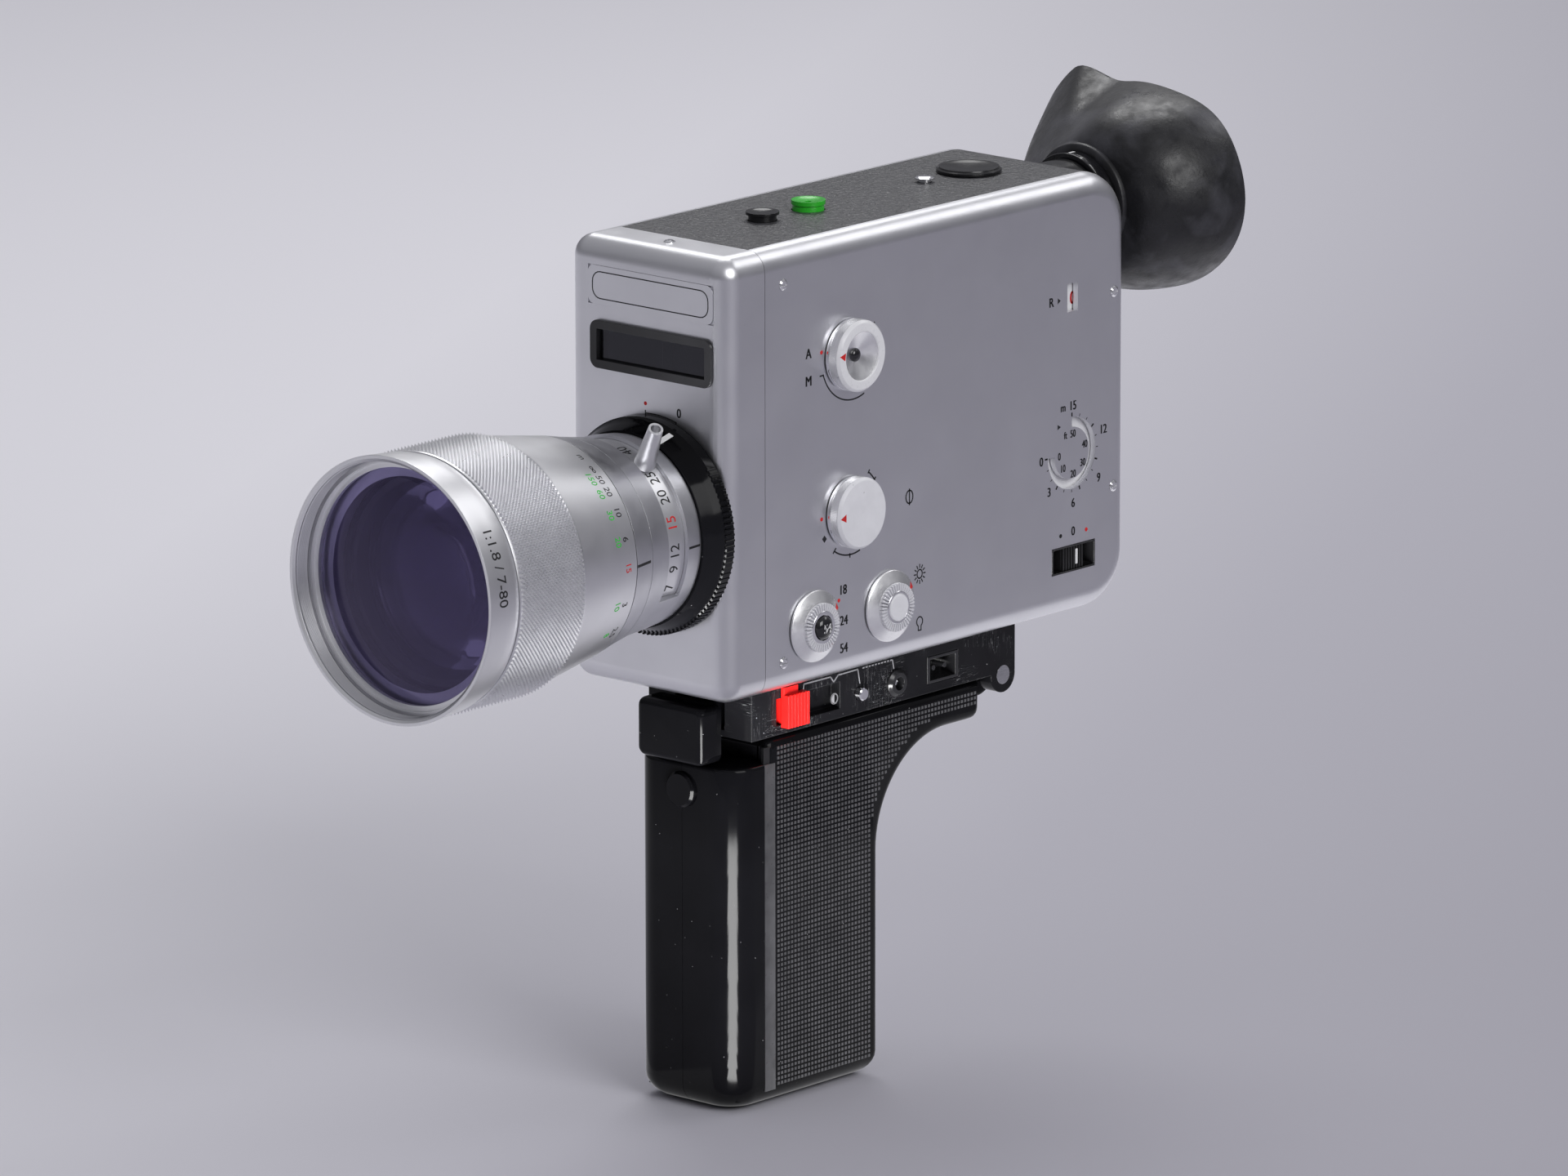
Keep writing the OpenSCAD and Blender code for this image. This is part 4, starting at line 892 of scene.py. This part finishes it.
def grip_panel(name, sign, border, body, node):
    """Sheet with a smooth front margin and rows of small square pyramids on a black ground, which paints the
    shade between them.
    """
    axis = Axis((0, 0, 0), Y, Z, (sign, 0, 0))
    base, tip = GRIP_X - 0.38, GRIP_X + 0.12
    # The black ground is painted shade in the gaps between the pyramids.
    add(name + "_ground", *plate(axis, border, GRIP_X - 1.2, base), MATT, body, 30, (node,))
    z0, z1 = min(p[1] for p in border), border[0][1]
    add(name + "_margin", *plate(axis, [(border[0][0], z0), (MARGIN_Y - 0.2, z0), (MARGIN_Y - 0.2, z1),
                                        (border[0][0], z1)], base - 0.05, GRIP_X + 0.05, 0.05), CHECK, body, 30)
    verts, faces = [], []
    corners = ((0, 0), (1, 0), (1, 1), (0, 1))
    for i in range(62):
        for j in range(72):
            y, z = MARGIN_Y + 0.3 + i * CHECK_PITCH, z0 + 0.6 + j * CHECK_PITCH
            if not all(inside(border, y + 1.4 * a - 0.05, z + 1.4 * b - 0.05) for a, b in corners):
                continue
            n = len(verts)
            verts += [(sign * (base - 0.02), y + (0.08 + 1.14 * a), z + (0.08 + 1.14 * b)) for a, b in corners]
            verts += [(sign * tip, y + (0.3 + 0.7 * a), z + (0.3 + 0.7 * b)) for a, b in corners]
            loop = [[n + k, n + (k + 1) % 4, n + 4 + (k + 1) % 4, n + 4 + k] for k in range(4)]
            loop += [[n + 4, n + 5, n + 6, n + 7]]
            faces += loop if sign > 0 else [q[::-1] for q in loop]
    add(name, verts, faces, CHECK, body, 20, fix=False)


PANEL = [(25.0, -21.0), (25.0, -107.0), (66, -107.0), *arc(97, -52, 31, 180, 93, 18), (108, -21.3),
         (108, -16.6), (70, -16.6), (25.0, -16.6)]
COVER_PANEL = [(25.0, -22.6), (25.0, -107.0), (66, -107.0), (66, -22.6)]
grip_half("grip_right_half", 1, COLUMN_TOP, "grip", "grip_shell")
grip_panel("grip_checkering", 1, PANEL, "grip", "grip_panel")
grip_half("battery_cover_half", -1, COLUMN_TOP - 0.1, "battery_cover", "battery_cover")
grip_panel("cover_checkering", -1, COVER_PANEL, "battery_cover", "cover_panel")
HOLLOW = [(GRIP_REAR, -52), *arc(GRIP_REAR + HOLLOW_R, ARM_Z - HOLLOW_R, HOLLOW_R, 175, 90, 20), (104, ARM_Z),
          *arc(ARM_END - 3, ARM_Z + 3, 3, 270, 360, 4), (ARM_END, GRIP_TOP)]
ARM_TOP = [(28, GRIP_TOP), (26, GRIP_TOP - 2)]
ARM_RIGHT = [(26, -40), (60, -60), (GRIP_REAR, -60), *HOLLOW, *ARM_TOP]
ARM_LEFT = [(26, COLUMN_TOP + 0.2), (69.7, COLUMN_TOP + 0.2), *HOLLOW[3:], *ARM_TOP]
arm_axis = Axis((0, 0, 0), Y, Z, X)
add("grip_arm", *join([plate(arm_axis, ARM_RIGHT, GRIP_X - 3.5, GRIP_X - 0.01, REAR_R, 5),
                       plate(arm_axis, ARM_LEFT, -0.02, GRIP_X - 3),
                       plate(Axis((0, 0, 0), Y, Z, (-1, 0, 0)), ARM_LEFT, -0.02, GRIP_X, 0.8, 3)]),
    GLOSS, "grip", 40)
tongue = fillet([(2.6, -9), (7.2, -9), (7.2, 9), (2.6, 9)], 0.8)
add("grip_tongue", *join([
    lathe(Axis((0, 118, -14.5), Y, Z, X), [*tongue, (2.6, -9)], 96),
    plate(arm_axis, [(104, -21.5), (118, -21.5), (118, GRIP_TOP), (104, GRIP_TOP)], -9, 9, 0.6)]),
    GLOSS, "grip", 40)

# ---- Trigger ----

block = rounded(-11.2, -19.6, 11.2, -4.2, 2.4)
add("trigger_block", *join([plate(Axis((0, 15.5, 0), X, Z, (0, -1, 0)), block, 0, 7.5, 1.8, 5),
                            plate(Axis((0, 15.4, 0), X, Z, Y), rounded(-5.8, -12, 5.8, -5, 1), 0, 14, 0.4)]),
    GLOSS, "trigger", 40, ("trigger",))

# ---- Marks on the base and the front ----

BASE = side(x=GRIP_X)
solid = [(39.79, -4.4), (40.08, -2.5), (50.31, -2.55), (51.6, -4.07), (53.27, -2.6), (60.89, -2.5),
         (61.68, -6.3)]
dashes = [[(y, -2.5), (y + 0.6, -2.5)] for y in np.arange(62.8, 74.2, 1.2)]
strokes("base_lines", BASE, [solid, *dashes, [(74.4, -2.6), (74.9, -4.9)]], 0.26, WHITE_INK)
strokes("base_half_moon", BASE, [arc(51.79, -8.53, 1.3, 0, 360, 18)], 0.24, WHITE_INK)
filled("base_half_moon_fill", BASE, [arc(51.79, -8.53, 1.3, 90, 270, 12)], WHITE_INK)
turned("jack_contact", side(75.7, -8.8, GRIP_X), [(0, -3), (1.0, -3), (1.0, -0.2), (0.7, 0.1), (0, 0.15)],
       CHROME, "camera", 0.08)
filled("front_dot", FRONT, [disc(-0.19, 74.89, 0.5)], RED_INK)
strokes("front_bracket", FRONT, [[(-0.2, 73.1), (-0.2, 71.9)], arc(2.5, 44.4, 28.1, 95, 74, 7),
                                 [(9.8, 70.3), (10.15, 71.33)]], 0.26, GREY_INK)
labels("front_zero", FRONT, [("0", 11.11, 73.93, 2.4)], GREY_INK)
frame_line = rounded(-17.9, 99.7, 21.1, 106.6, 2.6, 5)
strokes("name_plate_line", Axis((0, -0.15, 0), X, Z, (0, -1, 0)), [[*frame_line, frame_line[0]]], 0.22, INK)

# ---- Camera, floor and light ----


IMAGE_W, FOCAL_PX, DISTANCE, SENSOR_W = 1920, 15829.17, 3237.66, 36


def make_camera():
    """Camera at the photograph's angle, aimed a little right of and below the side's front edge."""
    a, e, roll = math.radians(41.487), math.radians(13.546), math.radians(-0.074)
    d = np.array([-math.sin(a) * math.cos(e), math.cos(a) * math.cos(e), -math.sin(e)])
    r = np.array([math.cos(a), math.sin(a), 0.0])
    u = np.cross(r, d)
    r2, u2 = math.cos(roll) * r + math.sin(roll) * u, -math.sin(roll) * r + math.cos(roll) * u
    target = np.array([27.0, 0, 57.0]) + 14.407 * r - 24.884 * u
    cam = bpy.data.cameras.new("camera")
    cam.sensor_width, cam.lens = SENSOR_W, FOCAL_PX / IMAGE_W * SENSOR_W
    cam.clip_start, cam.clip_end = 0.1, 60
    obj = bpy.data.objects.new("camera_view", cam)
    m = Matrix(np.c_[r2, u2, -d].tolist()).to_4x4()
    m.translation = Vector(mm(target - DISTANCE * d))
    obj.matrix_world = m
    scene.collection.objects.link(obj)
    scene.camera = obj


STRIP_DIR = (0.73, -0.64)


def lamp(name, at, aim, size, power, only=()):
    """Soft box aimed at a point, or lying on the floor and facing up; only lists the pieces it lights."""
    data = bpy.data.lights.new(name, "AREA")
    data.shape = "RECTANGLE"
    data.size, data.size_y = size
    data.energy = power
    obj = bpy.data.objects.new(name, data)
    obj.location = at
    if aim:
        obj.rotation_euler = (Vector(aim) - Vector(at)).to_track_quat("-Z", "Y").to_euler()
    else:
        obj.rotation_euler = (math.pi, 0, math.atan2(STRIP_DIR[1], STRIP_DIR[0]))
    obj.visible_camera = False
    if only:
        group = bpy.data.collections.new(name + "_receivers")
        for piece in only:
            group.objects.link(piece)
        obj.light_linking.receiver_collection = group
    scene.collection.objects.link(obj)


make_camera()


def floor_material():
    """Pale floor with painted light: a little lighter to the left and behind."""
    m = material("pale_floor", (0.60, 0.59, 0.64), 0.85, vary=0.02, vary_scale=0.35, rough_vary=0.05,
                 Specular_IOR_Level=0.1)
    nt = m.node_tree
    bsdf = nt.nodes["Principled BSDF"]
    along = nt.nodes.new("ShaderNodeVectorMath")
    along.operation = "DOT_PRODUCT"
    along.inputs[1].default_value = (-0.90, -0.44, 0)
    nt.links.new(nt.nodes.new("ShaderNodeTexCoord").outputs["Object"], along.inputs[0])
    span = nt.nodes.new("ShaderNodeMapRange")
    span.inputs["From Min"].default_value = -0.35
    span.inputs["From Max"].default_value = 0.35
    nt.links.new(along.outputs["Value"], span.inputs[0])
    # Painted light: a colour ramp that runs from darker to lighter across the floor, in place of the lamps'
    # falloff.
    nt.links.new(ramp(nt, span.outputs[0], [(0.0, (0.37, 0.36, 0.41)), (0.5, (0.57, 0.56, 0.62)),
                                            (1.0, (0.93, 0.92, 0.97))]), bsdf.inputs["Base Color"])
    return m


me = bpy.data.meshes.new("floor")
FLOOR_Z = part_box("grip_shell")[0].z - 0.0005
me.from_pydata([(x, y, FLOOR_Z) for x, y in ((-12, -12), (12, -12), (12, 12), (-12, 12))], [], [(0, 1, 2, 3)])
floor = bpy.data.objects.new("floor", me)
scene.collection.objects.link(floor)
me.materials.append(floor_material())
GLOSSY_BLACK = [o for o in scene.objects if o.type == "MESH" and o.data.materials
                and o.data.materials[0] in (GLOSS, BASE_BLACK, BLACK, RED)]
lamp("right_soft", (1.35, -0.30, 0.85), (0, 0, 0), (0.9, 0.9), 10.5)
lamp("back_left_top", (-0.75, 0.85, 1.45), (0, 0, 0.03), (0.9, 0.9), 8.5)
lamp("top_back", (0.5, 1.4, 1.35), (0, 0, 0), (1.2, 0.5), 3.5)
# A wedge of light on the floor, in nine growing steps, for the upright highlight on the grip's corner
STRIP_START, STRIP_RADIANCE, STRIP_GROWTH, STRIP_SPREAD = (0.012, -0.050), 34.0, 1.42, 0.55
for k in range(9):
    near = 0.022 * STRIP_GROWTH ** k
    far = near * STRIP_GROWTH
    mid, length = (near + far) / 2, far - near
    width = STRIP_SPREAD * (near + far) / 2
    lamp("floor_strip_%d" % k, (STRIP_START[0] + STRIP_DIR[0] * mid, STRIP_START[1] + STRIP_DIR[1] * mid,
                                FLOOR_Z + 0.001), None, (length, width),
         STRIP_RADIANCE * math.pi * length * width, GLOSSY_BLACK)
lamp("floor_glow", (-0.06, 0.20, FLOOR_Z + 0.001), None, (0.45, 0.35), 0.16)
scene.view_settings.view_transform = "Standard"
world = bpy.data.worlds.new("studio")
scene.world = world
world.use_nodes = True
nt = world.node_tree
wc = nt.nodes.new("ShaderNodeTexCoord")
sep = nt.nodes.new("ShaderNodeSeparateXYZ")
nt.links.new(wc.outputs["Generated"], sep.inputs[0])
nt.links.new(ramp(nt, sep.outputs["Z"], [(0.0, (0.26, 0.26, 0.28)), (0.15, (0.30, 0.30, 0.33)),
                                         (0.5, (0.50, 0.50, 0.54)), (1.0, (0.7, 0.7, 0.74))]),
             nt.nodes["Background"].inputs[0])
nt.nodes["Background"].inputs[1].default_value = 0.55

bpy.context.view_layer.update()
